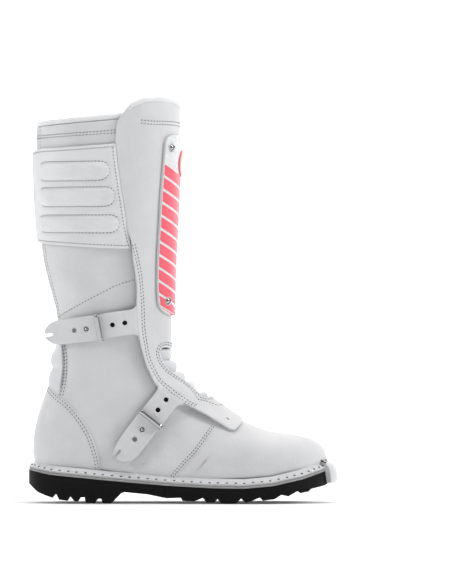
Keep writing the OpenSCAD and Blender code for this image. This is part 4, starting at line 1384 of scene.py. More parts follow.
@dataclass
class Upper:
    """Leather of the foot and shaft, with its lining, collar, counter and heel gusset."""

    seam: tuple = ((40, 84), (34, 77.8), (16, 52.6), (0.6, 36), (-9.4, 24))

    def sock(self, first: float, d: float, thick: float, top_drop: float, step: float) -> Mesh:
        """Closed wall round the whole boot from a section up to the collar."""
        turns = np.arange(-180, 180, step)
        share = np.linspace(0, 1, 151)
        v0 = np.interp(first, FORM.s_knots, FORM.v_knots)
        tops = ridge(COLLAR_TOP, turns) - top_drop
        v1 = np.interp(tops, FORM.s_knots, FORM.v_knots)
        v = v0 + (v1[None] - v0) * share[:, None]
        s = np.interp(v, FORM.v_knots, FORM.s_knots)
        a = np.broadcast_to(turns, s.shape)
        sunk = self.sunk(s, a) if d > -2 else 0
        return wall(FORM.place(s, a, d + sunk), FORM.place(s, a, d - thick + sunk), True)

    def sunk(self, s: Array, a: Array) -> Array:
        """How far the leather lies back under the bellows and the gusset."""
        folds = np.clip(1 - np.abs(a) / 52, 0, 1) * np.clip((s - 13) / 1.5, 0, 1)
        folds = folds * np.clip((19.7 - s) / 0.5, 0, 1)
        back = np.clip((np.abs(a) - 130) / 14, 0, 1) * np.clip((s - 15.6) / 0.5, 0, 1)
        back = back * np.clip((19.6 - s) / 0.4, 0, 1)
        return -np.where(folds > 0, np.minimum(folds * 12, 5.2), 0) - back * 0.9

    def vamp(self) -> Mesh:
        """Leather over the toes, closed at the front."""
        s = np.concatenate([np.linspace(FIRST_SECTION, 1, 26), np.linspace(1.06, 6.8, 80)])
        a = np.linspace(-152, 152, 132)
        grid_s, grid_a = np.meshgrid(s, a, indexing="ij")
        return wall(FORM.place(grid_s, grid_a, 0), FORM.place(grid_s, grid_a, -2.2))

    def facing(self) -> Layer:
        """Leather of the foot's side that overlaps the vamp along a seam."""
        seam = FORM.trace(self.seam, 1.5)
        low = np.column_stack([np.linspace(seam[-1, 0], 9.6, 20), np.full(20, 150.0)])
        high = np.column_stack([np.linspace(9.6, seam[0, 0], 20), np.full(20, 20.0)])
        back = np.column_stack([np.full(30, 9.6), np.linspace(150, 20, 30)])
        return Layer(closed_loop(seam, low, back, high), -0.6, 0.75, 0.55, 2.4, self.feather)

    def feather(self, s: Array, a: Array) -> Array:
        """The overlap sinks into the leather away from the seam."""
        u = np.maximum(np.clip((s - 7.7) / 1.1, 0, 1), np.clip((58 - a) / 14, 0, 1))
        return -1.9 * u * u * (3 - 2 * u)

    def counter(self) -> Layer:
        """Stiff leather over the heel."""
        edge = FORM.trace(COUNTER_EDGE, 1.5)
        other = np.column_stack([edge[:, 0], 360 - edge[:, 1]])[::-1]
        low = np.column_stack([np.full(40, 10.3), np.linspace(edge[-1, 1], other[0, 1], 40)])
        return Layer(closed_loop(edge, low, other), -0.3, 1.5, 0.7, 2.6)

    def gusset(self) -> Layer:
        """Soft leather behind the ankle that bulges in two folds."""
        edge = FORM.trace(GUSSET_EDGE, 1.5)
        other = np.column_stack([edge[:, 0], 360 - edge[:, 1]])[::-1]

        def folds(s: Array, a: Array) -> Array:
            """Two soft bulges across the back."""
            side = np.clip((12 + 33 - np.abs(np.asarray(a) - 180)) / 32, 0, 1)
            z = FORM.skin(s, a)[..., 2]
            high = np.exp(-((z - 144) / 7.5) ** 4) * 2.7
            low = np.exp(-((z - 125.5) / 7.2) ** 4) * 3.0
            return (high + low) * side ** 1.2

        return Layer(closed_loop(edge, other), -0.7, 0.7, 0.6, 1.9, swell=folds)

    def rim(self, line: Points, first: float, last: float, d: float, radius: float, rise: float,
            closed: bool) -> Mesh:
        """Rolled binding along a top line."""
        count = 240 if closed else 150
        a = np.linspace(first, last, count, endpoint=not closed)
        s = ridge(line, a)
        path = FORM.place(s, a, d) + (0, 0, rise)
        up = FORM.normal(s, a)
        size = np.full(count, radius)
        if not closed:
            size[0] = size[-1] = radius * 0.6
        return tube(path, size, 14, closed, up)

    def build(self) -> None:
        """Makes the upper's pieces."""
        vamp = piece("vamp_leather", self.vamp(), Finish.LEATHER)
        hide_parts("vamp")
        facing = piece("side_leather", self.facing().mesh(), Finish.LEATHER)
        counter = piece("counter_leather", self.counter().mesh(), Finish.LEATHER)
        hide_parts("heel_counter")
        quarter = piece("quarter_leather", self.sock(6.7, 0.0, 2.2, 0.1, 3.0), Finish.LEATHER)
        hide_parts("foot_quarter", "shaft_quarter", "tongue_gusset", "ankle_sides")
        lining = piece("lining_cloth", self.sock(4.2, -2.6, 3.2, 0.1, 4.0), Finish.LINING)
        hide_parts("foot_lining", "shaft_lining", "ankle_lining")
        gusset = piece("heel_gusset", self.gusset().mesh(), Finish.FOLD)
        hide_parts("achilles_gusset")
        rim = self.rim(COLLAR_TOP, -180, 180, -3.0, 3.1, 1.4, True)
        collar = piece("collar_rim", rim, Finish.BINDING, 80)
        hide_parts("collar_binding")
        rides("foot", vamp, facing, counter)
        rides("shaft", collar)
        bends(quarter, lining, gusset)
        self.sew()

    def sew(self) -> None:
        """Makes the rows of stitches."""
        foot, shaft, ankle = Seam(), Seam(), Seam()
        seam = FORM.trace(self.seam, 1.5)
        for away in (1.8, 4.3):
            foot.row(FORM.walk(seam, -away), 0.76, self.feather, 3.1)
        edge = FORM.trace(COUNTER_EDGE, 1.5)
        for away in (1.9, 4.6):
            row = FORM.walk(edge, -away)
            row = row[row[:, 1] < 176]
            foot.row(row, 1.5)
            foot.row(np.column_stack([row[:, 0], 360 - row[:, 1]]), 1.5)
        gusset = FORM.trace(GUSSET_EDGE, 1.5)
        for away in (1.6, 4.4):
            row = FORM.walk(gusset, away)
            ankle.row(row, 0.02)
            ankle.row(np.column_stack([row[:, 0], 360 - row[:, 1]]), 0.02)
        collar_a = np.linspace(66, 294, 200)
        for drop in (12.0, 14.8):
            v = np.interp(ridge(COLLAR_TOP, collar_a), FORM.s_knots, FORM.v_knots) - drop
            shaft.row(np.column_stack([np.interp(v, FORM.v_knots, FORM.s_knots), collar_a]), 0.02)
        diagonal = FORM.trace(((-124, 186), (-102, 198.5), (-77, 211.5), (-65, 217.5), (-49, 222.5)), 1.5)
        shaft.row(diagonal, 0.02)
        back = np.linspace(19.8, 28.8, 120)
        for side in (1, -1):
            for away in (157.0, 163.0):
                shaft.row(np.column_stack([back, np.full(120, side * away)]), 0.02)
        rides("foot", *foot.pieces("foot"))
        rides("shaft", *shaft.pieces("shaft"))
        bends(*ankle.pieces("ankle"))


@dataclass
class FrontPanel:
    """The long panel over shin and instep, its lip, and the bellows in it."""

    inner_turn: float = -66.0
    valleys: tuple = ((-14.5, 156), (-16.2, 143.6), (-8.6, 132.6), (0.8, 122.6), (10.4, 113.4), (24, 106.6))

    def outline(self) -> Array:
        """The panel's outline, over the lip, down the inner side and round the tip."""
        edge = FORM.trace(PANEL_EDGE, 1.2)
        top_a = np.linspace(self.inner_turn, FORM.locate(LIP_TOP[-1:])[0, 1], 120)
        top = np.column_stack([ridge(LIP_TOP, top_a), top_a])
        s_down = np.linspace(top[0, 0] - 0.3, 19.2, 100)
        down = np.column_stack([s_down, np.full(100, self.inner_turn)])
        s_in = np.linspace(19.0, 8.2, 60)
        instep = np.column_stack([s_in, np.interp(s_in, [8.2, 13, 16, 19], [-36, -44, -52, self.inner_turn])])
        tip = np.array([(7.6, -34), (7.1, -29), (6.75, -22), (6.55, -12), (6.5, 0)])
        return closed_loop(edge[::-1], top[::-1], down, instep, tip, step=1.3)

    def cut(self, away: float) -> Array:
        """Outline of the bellows, moved outwards."""
        line = FORM.trace(FOLD_EDGE, 1.2)
        whole = np.vstack([line, mirrored(line)])
        whole = closed_loop(whole, step=1.2)
        if area(FORM.flatten(whole)) > 0:
            whole = whole[::-1]
        return FORM.walk(whole, away, True)

    def panel(self) -> Layer:
        """The panel itself."""
        edge = FORM.trace(PANEL_EDGE, 1.0)
        seam = FORM.trace(PANEL_SEAM, 1.2)
        rows = (FORM.walk(edge, 1.5)[4:-4], FORM.walk(seam, -1.3), FORM.walk(seam, 1.3))

        def dish(s: Array, a: Array) -> Array:
            """Slight sinking of the leather along its stitch rows."""
            p = FORM.skin(s, a)
            out = np.zeros(len(p))
            for row in rows[1:]:
                far = nearest(p, FORM.skin(row[:, 0], row[:, 1]))
                out -= 0.16 * np.exp(-(far / 0.9) ** 2)
            return out

        return Layer(self.outline(), PANEL_INNER, PANEL_OUTER, 0.8, 2.3, LIFT, dish, (self.cut(0.0),), rows)

    def bellows(self) -> Mesh:
        """Puffed rolls across the front of the ankle."""
        valleys = FORM.locate(self.valleys)[:, 0]
        edge = FORM.trace(FOLD_EDGE, 1.0)
        rows_s, rise = [], []
        for a, b in zip(valleys, valleys[1:]):
            u = (1 - np.cos(np.linspace(0, math.pi, 17))) / 2
            rows_s.append(a + (b - a) * u[:-1])
            rise.append(np.sin(u[:-1] * math.pi) ** 0.62)
        s = np.append(np.concatenate(rows_s), valleys[-1])
        roll = np.append(np.concatenate(rise), 0)
        side = edge[(edge[:, 1] > 1)]
        order = np.argsort(side[:, 0])
        reach = np.interp(s, side[order, 0], side[order, 1]) + 3.5
        reach = np.maximum(reach, 14)
        cols = np.linspace(-1, 1, 61)
        cols = np.sign(cols) * np.abs(cols) ** 0.85
        a = reach[:, None] * cols
        grid_s = np.broadcast_to(s[:, None], a.shape)
        round_off = (1 - np.abs(cols) ** 3.2)
        p = FORM.place(grid_s, a, 0)
        crumple = 0.5 * np.sin(p[..., 1] * 0.33 + p[..., 2] * 0.21) * roll[:, None]
        d = -4.6 + 1.4 * round_off[None] + roll[:, None] * (4.9 * round_off[None] ** 0.6 + crumple) + 0.6
        return wall(FORM.place(grid_s, a, d), FORM.place(grid_s, a, np.minimum(d - 1.2, -4.6)))

    def build(self) -> None:
        """Makes the panel's pieces."""
        panel = piece("front_panel", self.panel().mesh(), Finish.LEATHER)
        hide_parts("instep_panel", "shin_panel", "ankle_panel")
        bellows = piece("ankle_folds", self.bellows(), Finish.FOLD, 70)
        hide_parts("ankle_bellows")
        bends(panel, bellows)
        rim = Upper().rim(LIP_TOP, self.inner_turn, 73, 1.75, 2.4, -1.7, False)
        lip = piece("lip_rim", rim, Finish.BINDING, 80)
        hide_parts("lip_binding")
        rides("shaft", lip)
        rows = Seam()
        seam = FORM.trace(PANEL_SEAM, 1.2)
        for away in (-1.3, 1.3):
            rows.row(FORM.walk(seam, away), PANEL_OUTER - 0.1, LIFT)
        for away in (2.6, 5.0):
            row = self.cut(away)
            rows.row(np.roll(row, -int(np.argmin(row[:, 0])), 0), PANEL_OUTER + 0.02, LIFT, 3.2, True)
        lip_a = np.linspace(self.inner_turn + 4, 62, 160)
        for drop in (21.5, 24.5):
            top = ridge(((-5.6, 402), (-30, 402.5), (-62, 404)), lip_a)
            v = np.interp(top, FORM.s_knots, FORM.v_knots) - drop
            lip_row = np.column_stack([np.interp(v, FORM.v_knots, FORM.s_knots), lip_a])
            rows.row(lip_row, PANEL_OUTER + 0.02, LIFT)
        for away in (3.2, 6.0):
            inner = np.column_stack([np.linspace(28.4, 19.6, 200), np.full(200, self.inner_turn + away)])
            rows.row(inner, PANEL_OUTER + 0.02, LIFT)
        bends(*rows.pieces("panel"))
        # Painted shade: a flat dark oval on the panel's tip stands for the shadow inside its slot.
        slot_shade = Mesh()
        at = FORM.locate(((44, 84.6),))
        raised = float(LIFT(at[:, 0], at[:, 1])[0])
        o, x, n = spot_frame((44, 84.6), -28, PANEL_OUTER + raised + 0.2)
        oval = [(0.0, -0.3), (1.0, -0.3), (1.0, 0.12), (0.0, 0.12)]
        verts, faces = lathe(oval, 24)
        verts = verts * (2.4, 0.9, 1)
        slot_shade.merge(stood(Mesh().add(verts, faces), o, x, n))
        rides("foot", piece("tip_slot_shade", slot_shade, Finish.DARK, 40))


# ---------------------------------------------------------------- shin plate


PLATE_EDGE = ((-21, 380), (-21, 363.5), (-22.6, 339), (-25, 305.5), (-26.5, 275), (-28, 244), (-28, 206),
              (-25, 193.6), (-20.5, 187), (-16.2, 180))


@dataclass
class ShinPlate:
    """Moulded plate on the shin with slanted bands, a round badge and four screws."""

    inner: float = 3.25
    outer: float = 6.25
    rim: float = 1.5
    recess: float = 0.45
    corner: float = 9.0
    high: float = 27.9
    low: float = 21.05
    bands: int = 12
    top: float = 338.0
    step: float = 13.0
    gap: float = 2.8
    drop: float = 13.5
    badge_shift: float = -5.5

    def section_at(self, z: Array) -> Array:
        """Section whose line passes the front at a height."""
        z = np.atleast_1d(np.asarray(z, float))
        return FORM.locate(np.column_stack([np.full(len(z), -16.0), z]))[:, 0]

    def edge_turn(self, s: Array) -> Array:
        """Angle of the plate's side edge at a section."""
        line = FORM.trace(PLATE_EDGE, 2.0)
        order = np.argsort(line[:, 0])
        return np.interp(s, line[order, 0], line[order, 1])

    def half_width(self, s: Array, inset: float = 0.0) -> Array:
        """Half the plate's angle at a section, with rounded corners."""
        v = np.interp(s, FORM.s_knots, FORM.v_knots)
        v0, v1 = np.interp([self.low, self.high], FORM.s_knots, FORM.v_knots)
        r = self.corner
        near = np.clip(np.minimum(v - v0, v1 - v) - inset, 0, r)
        cut = r - np.sqrt(np.maximum(r * r - (r - near) ** 2, 0))
        return np.maximum(self.edge_turn(s) - (cut + inset) / 0.95, 0)

    def outline(self, inset: float = 0.0) -> Array:
        """The plate's outline, moved inwards."""
        v = np.interp([self.low, self.high], FORM.s_knots, FORM.v_knots) + (inset, -inset)
        u = (1 - np.cos(np.linspace(0, math.pi, 160))) / 2
        s = np.interp(v[0] + (v[1] - v[0]) * u, FORM.v_knots, FORM.s_knots)
        a = self.half_width(s, inset)
        return closed_loop(np.column_stack([s, a]), np.column_stack([s, -a])[::-1], step=1.2)

    def body(self) -> Layer:
        """The plate with its raised rim."""
        edge = self.outline()
        edge3 = FORM.skin(edge[:, 0], edge[:, 1])

        def rim(s: Array, a: Array) -> Array:
            """Step from the rim down to the field."""
            far = nearest(FORM.skin(s, a), edge3)
            u = np.clip((far - self.rim) / 0.7, 0, 1)
            return -self.recess * u * u * (3 - 2 * u)

        rows = (self.outline(self.rim), self.outline(self.rim + 0.7))
        return Layer(edge, self.inner, self.outer, 1.3, 2.0, swell=rim, rows=rows)

    def band(self, k: int) -> Optional[Layer]:
        """One slanted band."""
        height = self.step - self.gap
        top = self.top - k * self.step
        a = np.linspace(-1, 1, 61)
        fall = 1 - (0.75 * np.abs(a) ** 2.1 + 0.25 * np.abs(a))
        upper = top - self.drop * fall
        lower = np.maximum(upper - height, 187.2)
        upper = np.maximum(upper, 187.6)
        s_up, s_low = self.section_at(upper), self.section_at(lower)
        wide_up = np.maximum(self.half_width(s_up, self.rim - 0.8), 0.5)
        wide_low = np.maximum(self.half_width(s_low, self.rim - 0.8), 0.5)
        up = np.column_stack([s_up, a * wide_up])
        low = np.column_stack([s_low, a * wide_low])
        loop = closed_loop(up, low[::-1], step=1.1)
        base = self.outer - self.recess
        return Layer(loop, base - 0.3, base + 0.45, 0.35, 1.8)

    def disc(self, z: float, r0: float, r1: float, d0: float, d1: float) -> Mesh:
        """Ring of the badge, slightly domed."""
        radii = np.array([r0, r0, r0 + 0.2, (r0 + r1) / 2, r1 - 0.2, r1, r1])
        heights = np.array([d0, d1 - 0.15, d1, d1 + 0.1, d1, d1 - 0.15, d0])
        t = np.linspace(0, 2 * math.pi, 72, endpoint=False)
        rows = []
        for r, d in zip(radii, heights):
            s = self.section_at(z + r * np.sin(t))
            y = 1.18 * r * np.cos(t) + self.badge_shift
            half = FORM.at(s)[:, 4]
            a = -np.degrees(np.sign(y) * np.arcsin((np.abs(y) / half) ** (FRONT_POWER / 2)))
            p = FORM.place(s, a, d)
            p[:, 1] = y
            rows.append(p)
        grid = np.stack(rows + rows[:1])
        return Mesh().add(grid, grid_faces(len(grid), len(t), True))

    def build(self) -> None:
        """Makes the plate's pieces."""
        plate = piece("shin_plate_body", self.body().mesh(), Finish.PLATE, 60)
        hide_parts("shin_plate")
        bands = Mesh()
        for k in range(self.bands):
            bands.merge(self.band(k).mesh())
        bands_made = piece("shin_bands", bands, Finish.RED, 60)
        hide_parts("shin_stripes")
        base = self.outer - self.recess
        z = 338.8
        outer = piece("badge_outer_ring", self.disc(z, 10.9, 13.4, base - 0.3, base + 1.1), Finish.RED, 60)
        middle = self.disc(z, 7.2, 10.9, base - 0.3, base + 0.8)
        ring = piece("badge_inner_ring", middle, Finish.GREEN, 60)
        centre = piece("badge_centre", self.disc(z, 0.05, 7.2, base - 0.3, base + 0.95), Finish.PLATE, 60)
        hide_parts("shin_badge")
        heads, washers = Mesh(), Mesh()
        for point in ((-10.9, 353.7), (-14.6, 201.3)):
            for inner in (False, True):
                o, x, n = spot_frame(point, 60, base + 0.1, inner)
                heads.merge(stood(slotted(7.6, 2.3, 1.1), o + n * 0.5, x, n))
                verts, faces = lathe([(0, -0.5), (4.7, -0.5), (4.7, 0.3), (4.3, 0.6), (0, 0.6)], 40)
                washers.merge(stood(Mesh().add(verts, faces), o, x, n))
        screws = piece("shin_screw_heads", heads, Finish.CHROME, 35)
        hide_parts("shin_screws")
        rides("shaft", plate, bands_made, outer, ring, centre, screws,
              piece("shin_screw_washers", washers, Finish.STEEL, 35))


# ---------------------------------------------------------------- calf flap


FLAP_FRONT = ((-66.6, 356.5), (-65.3, 343.5), (-62.3, 320.5), (-57.8, 290), (-54.8, 271.5), (-51.5, 256))
FLAP_TOP = ((-138, 353.2), (-120, 353.8), (-95, 355.6), (-67, 357.8))
FLAP_BOTTOM = ((-52.5, 254), (-70, 254.6), (-89.5, 255.5), (-110, 256.8), (-132, 258.5))


@dataclass
class CalfFlap:
    """Wrap-round flap at the calf with three padded cells."""

    inner: float = 2.2
    outer: float = 4.4
    back: float = 172.0
    cells: tuple = ((-142, -73, 323.5, 340.5), (-141.6, -67.5, 298, 315), (-138.5, -63.5, 272, 287.5))

    def turn_at(self, x: float, z: float) -> float:
        """Angle of a side-view point, carried on round the back beyond the side's reach."""
        return float(FORM.locate([(x, z)])[0, 1])

    def outline(self) -> Array:
        """The flap's outline with rounded corners."""
        front = FORM.trace(FLAP_FRONT, 1.5)
        bottom = FORM.trace(FLAP_BOTTOM, 1.5)
        top = FORM.trace(FLAP_TOP, 1.5)
        s0, s1 = bottom[-1, 0], top[0, 0]
        bend = np.linspace(0, math.pi / 2, 10)
        r_s, r_a = 0.33, 9.0
        low = np.column_stack([s0 + 0.05 + r_s * (1 - np.cos(bend)), self.back - r_a + r_a * np.sin(bend)])
        high = np.column_stack([s1 - 0.05 - r_s * (1 - np.sin(bend)), self.back - r_a + r_a * np.cos(bend)])
        return closed_loop(front, bottom, low, high, top, step=1.4)

    def tuck(self, s: Array, a: Array) -> Array:
        """The flap dips under the front panel at its seam."""
        front = FORM.trace(FLAP_FRONT, 2.0)
        far = nearest(FORM.skin(s, a), FORM.skin(front[:, 0], front[:, 1]))
        u = np.clip(1 - far / 9.0, 0, 1)
        return -1.5 * u * u * (3 - 2 * u)

    def cell(self, box: tuple, grow: float = 0.0) -> Array:
        """Outline of one padded cell with round ends."""
        x0, x1, z0, z1 = box
        s0, s1 = FORM.locate([(-100, z0)])[0, 0], FORM.locate([(-100, z1)])[0, 0]
        mid = (z0 + z1) / 2
        a1 = self.turn_at(x1, mid)
        a0 = min(158.0, self.turn_at(max(x0, -136.5), mid) + 4)
        v0, v1 = np.interp([s0, s1], FORM.s_knots, FORM.v_knots)
        reach = (v1 - v0) / 2 + grow
        left, right = -a0 * 0.95, -a1 * 0.95
        middle, fall, blunt = (v0 + v1) / 2, 2.0, 0.8
        t = np.linspace(-math.pi / 2, math.pi / 2, 24)
        out = np.sign(np.cos(t)) * np.abs(np.cos(t)) ** blunt
        up = np.sign(np.sin(t)) * np.abs(np.sin(t)) ** blunt
        right_end = np.column_stack([right - reach + reach * out, middle - fall + reach * up])
        left_end = np.column_stack([left + reach - reach * out, middle - reach * up])
        line = FORM.unflatten(np.vstack([right_end, left_end]))
        return closed_loop(line, step=1.2)

    def pad(self, box: tuple) -> Layer:
        """One padded cell, blown up between its seams."""
        loop = self.cell(box)
        edge = FORM.skin(loop[:, 0], loop[:, 1])
        half = (box[3] - box[2]) / 2

        def puff(s: Array, a: Array) -> Array:
            """Round filling that is pinched at the seam."""
            p = FORM.skin(s, a)
            far = np.clip(nearest(p, edge) / (half * 0.93), 0, 1)
            dent = 0.16 * np.sin(p[:, 0] * 0.35 + p[:, 2] * 0.9) + 0.1 * np.sin(p[:, 0] * 0.9 - p[:, 2] * 0.4)
            return (1.9 + dent) * np.sqrt(np.maximum(1 - (1 - far) ** 2, 0))

        rows = tuple(FORM.walk(loop if area(FORM.flatten(loop)) > 0 else loop[::-1], e, True)
                     for e in (0.5, 1.2, 2.2))
        return Layer(loop, self.outer - 0.6, self.outer + 0.05, 0.25, 1.7, swell=puff, rows=rows)

    def build(self) -> None:
        """Makes the flap's pieces."""
        edge = self.outline()
        rings = [self.cell(box, 1.2) for box in self.cells]
        ring_points = [FORM.skin(r[:, 0], r[:, 1]) for r in rings]
        field_rings = np.vstack(ring_points)

        def groove(s: Array, a: Array) -> Array:
            """Sunken line round each cell."""
            far = nearest(FORM.skin(s, a), field_rings)
            return -0.5 * np.exp(-(far / 1.2) ** 2)

        flap = piece("calf_flap_leather", Layer(edge, self.inner, self.outer, 0.8, 2.2, self.tuck, groove,
                                                rows=tuple(rings)).mesh(), Finish.FLAP)
        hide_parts("calf_flap")
        pads = Mesh()
        for box in self.cells:
            pads.merge(self.pad(box).mesh())
        pads_made = piece("calf_pad_cells", pads, Finish.FLAP, 75)
        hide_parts("calf_pads")
        rows = Seam()
        turned = edge if area(FORM.flatten(edge)) > 0 else edge[::-1]
        rows.row(FORM.walk(turned, 3.0, True), self.outer + 0.02, self.tuck, closed=True)
        for ring in rings:
            rows.row(ring, self.outer - 0.4, closed=True)
        for each in (flap, *rows.pieces("calf_flap")):
            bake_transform(each)
        rides("calf_flap", pads_made)


# ---------------------------------------------------------------- straps and buckles


@dataclass
class Buckle:
    """A strap with punched holes, its roller, frame and stud, and discs of painted shade under the holes."""

    name: str
    body: str
    holder: str
    line: tuple
    bar: tuple
    hole_spots: tuple
    free: float
    curl: float
    length: float
    width: float = 25.0
    thick: float = 2.4
    base: float = 4.2
    tail: tuple = ()
    stud_hole: int = 2
    # Hole left without a disc of painted shade under it.
    open_hole: int = 3

    def __post_init__(self) -> None:
        """Works out the strap's run in space."""
        line = spline(self.line, 10)
        side = spaced(line, line, 1.0)
        st = FORM.locate(side)
        run = unit(np.gradient(side, axis=0))
        across = np.stack([-run[:, 1], run[:, 0]], -1)
        a, b = FORM.locate(side + across * 4), FORM.locate(side - across * 4)
        centre = FORM.place(st[:, 0], st[:, 1], self.base)
        over = unit(FORM.place(a[:, 0], a[:, 1], self.base) - FORM.place(b[:, 0], b[:, 1], self.base))
        along = unit(np.gradient(centre, axis=0))
        over = unit(over - along * (over * along).sum(1, keepdims=True))
        dist = np.concatenate([[0], np.cumsum(np.linalg.norm(np.diff(centre, axis=0), axis=1))])
        dist = dist - dist[int(np.argmin(np.linalg.norm(side - np.array(self.line[1]), axis=1)))]
        stop = int(np.searchsorted(dist, self.free))
        pts, alongs, overs = list(centre[:stop]), list(along[:stop]), list(over[:stop])
        e, w, p = alongs[-1], overs[-1], pts[-1]
        at = dist[stop - 1]
        while at < self.length + 1:
            n = np.cross(e, w)
            e = unit(e + n * self.curl)
            p = p + e * 1.0
            at += 1.0
            pts.append(p)
            alongs.append(e)
            overs.append(w)
        self.points, self.along, self.over = np.array(pts), np.array(alongs), np.array(overs)
        self.dist = np.concatenate([dist[:stop], dist[stop - 1] + np.arange(1, len(pts) - stop + 1)])

    def frame_at(self, u: Array) -> tuple[Array, Array, Array]:
        """Point, across and outward directions at a length along the strap."""
        def pick(table: Array) -> Array:
            """A table's vectors at the lengths."""
            return np.stack([np.interp(u, self.dist, table[:, k]) for k in range(3)], -1)
        over, along = unit(pick(self.over)), unit(pick(self.along))
        out = unit(np.cross(over, along))
        outer = np.sign((out * (0, -1, 0)).sum(-1, keepdims=True))
        return pick(self.points), over, out * np.where(outer == 0, 1, outer)

    def place(self, u: Array, v: Array, d: Union[float, Array]) -> Array:
        """Point at a length u, a distance v across and a height d above the strap's inner face."""
        p, over, out = self.frame_at(np.asarray(u, float))
        return p + over * np.asarray(v, float)[..., None] + out * np.broadcast_to(d, np.shape(u))[..., None]

    def length_of(self, point: tuple[float, float]) -> float:
        """Length along the strap of a side-view point."""
        flat = self.points[:, (0, 2)] - np.array(point)
        return float(self.dist[int(np.argmin((flat ** 2).sum(1)))])

    def outline(self) -> Array:
        """The strap's outline, with flared root and notched tail."""
        h = self.width / 2
        length = self.length
        right = [(-7, h + 3.5), (-1.5, h + 3.5), (0.2, h + 1.7), (2.5, h + 0.4), (6, h), (length - 24, h)]
        tail = [(length + du, v) for du, v in self.tail]
        back = [(u, -v) for u, v in right[::-1]]
        line = np.array(right + tail + back, float)
        return spaced(line, line, 0.9, True)

    def rest(self, u: Array, v: Array) -> Array:
        """How far the root stands below the strap's level, where it leaves the panel."""
        p = self.place(u, v, 0.0)
        side = FORM.locate(p[:, (0, 2)])
        skin = FORM.skin(side[:, 0], side[:, 1])
        beyond = side[:, 1] > np.interp(side[:, 0], LIFT.line[::-1, 0], LIFT.line[::-1, 1])
        deep = np.where(beyond, 0.0, nearest(skin, LIFT.edge))
        lifted = PANEL_OUTER + LIFT(side[:, 0], side[:, 1]) + 0.14 - 0.13 * deep
        blend = np.clip((8 - np.asarray(u, float)) / 8, 0, 1)
        blend = blend * blend * (3 - 2 * blend)
        return blend * (lifted - (self.base + self.thick))

    def leather(self) -> Mesh:
        """The strap itself."""
        outline = self.outline()
        if area(outline) < 0:
            outline = outline[::-1]
        holes = []
        for spot in self.hole_spots:
            u = self.length_of(spot)
            t = np.linspace(0, 2 * math.pi, 22, endpoint=False)[::-1]
            holes.append(np.column_stack([u + 2.45 * np.cos(t), 2.45 * np.sin(t)]))
        loops = [outline, *holes]
        rings = [[ring_in(loop, e * 0.7) for e, _ in ROUNDING] for loop in loops]
        flats = [r[-1] for r in rings]
        gx, gy = np.meshgrid(np.arange(-5, self.length, 1.9), np.arange(-20, 20, 1.9))
        grid = np.stack([gx.ravel(), gy.ravel()], -1)
        grid = grid[within(grid, flats)]
        grid = grid[nearest(grid, np.vstack(flats)) > 1.1]
        coords, tris, core = triangles(flats, grid)

        def put(uv: Array, d: float) -> Array:
            """Points of the strap's plan at a height above its inner face."""
            return self.place(uv[:, 0], uv[:, 1], d + self.rest(uv[:, 0], uv[:, 1]))

        return thickened(put(coords, self.thick), put(coords, 0.0), tris, core, rings,
                         lambda line, drop: put(line, self.thick - drop * 0.7),
                         lambda line: put(line, 0.0))

    def metal_frame(self) -> tuple[Array, Array, Array]:
        """Origin and axes at the buckle's bar."""
        u = self.length_of(self.bar)
        p, over, out = self.frame_at(np.array([u]))
        return p[0], over[0], out[0]

    def build(self) -> None:
        """Makes the strap and its metal."""
        strap = piece(self.name + "_strap_leather", self.leather(), Finish.STRAP, 50)
        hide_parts(self.name + "_strap")
        u = 1.0
        p, over, out = self.frame_at(np.array([u, u + 8]))
        tuple(p[0] * MM)
        tuple(p[1] * MM)
        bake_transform(strap)
        o, over, out = self.metal_frame()
        along = np.cross(over, out)
        if along @ (self.points[-1] - self.points[0]) < 0:
            along = -along
        z = self.thick + 1.5 + 2.7
        half = self.width / 2 + 0.3
        t = np.linspace(-half + 0.1, half - 0.1, 25)
        bar = np.array([o + over * v + out * z for v in t])
        size = np.full(25, 2.75)
        size[0] = size[-1] = 2.3
        turned = tube(bar, size, 40, up=np.tile(out, (25, 1)))
        roller = piece(self.name + "_roller_tube", turned, Finish.CHROME, 45)
        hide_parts(self.name + "_roller")
        rides(self.name + "_roller", roller)
        metal = Mesh()
        for side in (-1, 1):
            rows = []
            for v in (half + 0.1, half + 0.9):
                ring = []
                for k in np.linspace(0, 2 * math.pi, 28, endpoint=False):
                    y = 2.6 * math.cos(k) * (1 + 0.25 * max(0, -math.sin(k)))
                    h = z + 2.4 * math.sin(k) if math.sin(k) > 0 else z + math.sin(k) * (z + 1.4)
                    ring.append(o + over * (side * v) + along * y + out * h)
                rows.append(ring)
            grid = np.array(rows)
            faces = grid_faces(2, 28, True) + [list(range(28)), [28 + i for i in range(28)][::-1]]
            metal.merge(Mesh().add(grid, faces))
            pin = [o + over * (side * v) + out * z for v in (half - 0.2, half + 0.9, half + 1.15)]
            metal.merge(tube(np.array(pin), np.array([1.3, 1.3, 0.8]), 20, up=np.tile(out, (3, 1))))
        u0 = self.length_of(self.bar)
        us = np.linspace(u0 - 5, u0 + 19, 18)
        vs = np.linspace(-half + 2.5, half - 2.5, 9)
        gu, gv = np.meshgrid(us, vs, indexing="ij")
        outer = self.place(gu, gv, -0.5)
        metal.merge(wall(outer, self.place(gu, gv, -1.7)))
        made = piece(self.name + "_buckle_cheeks", metal, Finish.CHROME, 35)
        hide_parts(self.name + "_buckle_frame")
        u = self.length_of(self.hole_spots[self.stud_hole])
        p, over, out = self.frame_at(np.array([u]))
        dome = [(0, -1.5), (1.75, -1.5), (1.75, 1.6)]
        dome += [(1.75 * math.cos(t), 1.6 + 1.5 * math.sin(t)) for t in np.linspace(0.1, 1.5, 8)] + [(0, 3.1)]
        verts, faces = lathe(dome, 32)
        stud = piece(self.name + "_stud_dome", stood(Mesh().add(verts, faces), p[0], over[0], out[0]),
                     Finish.CHROME, 40)
        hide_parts(self.name + "_stud")
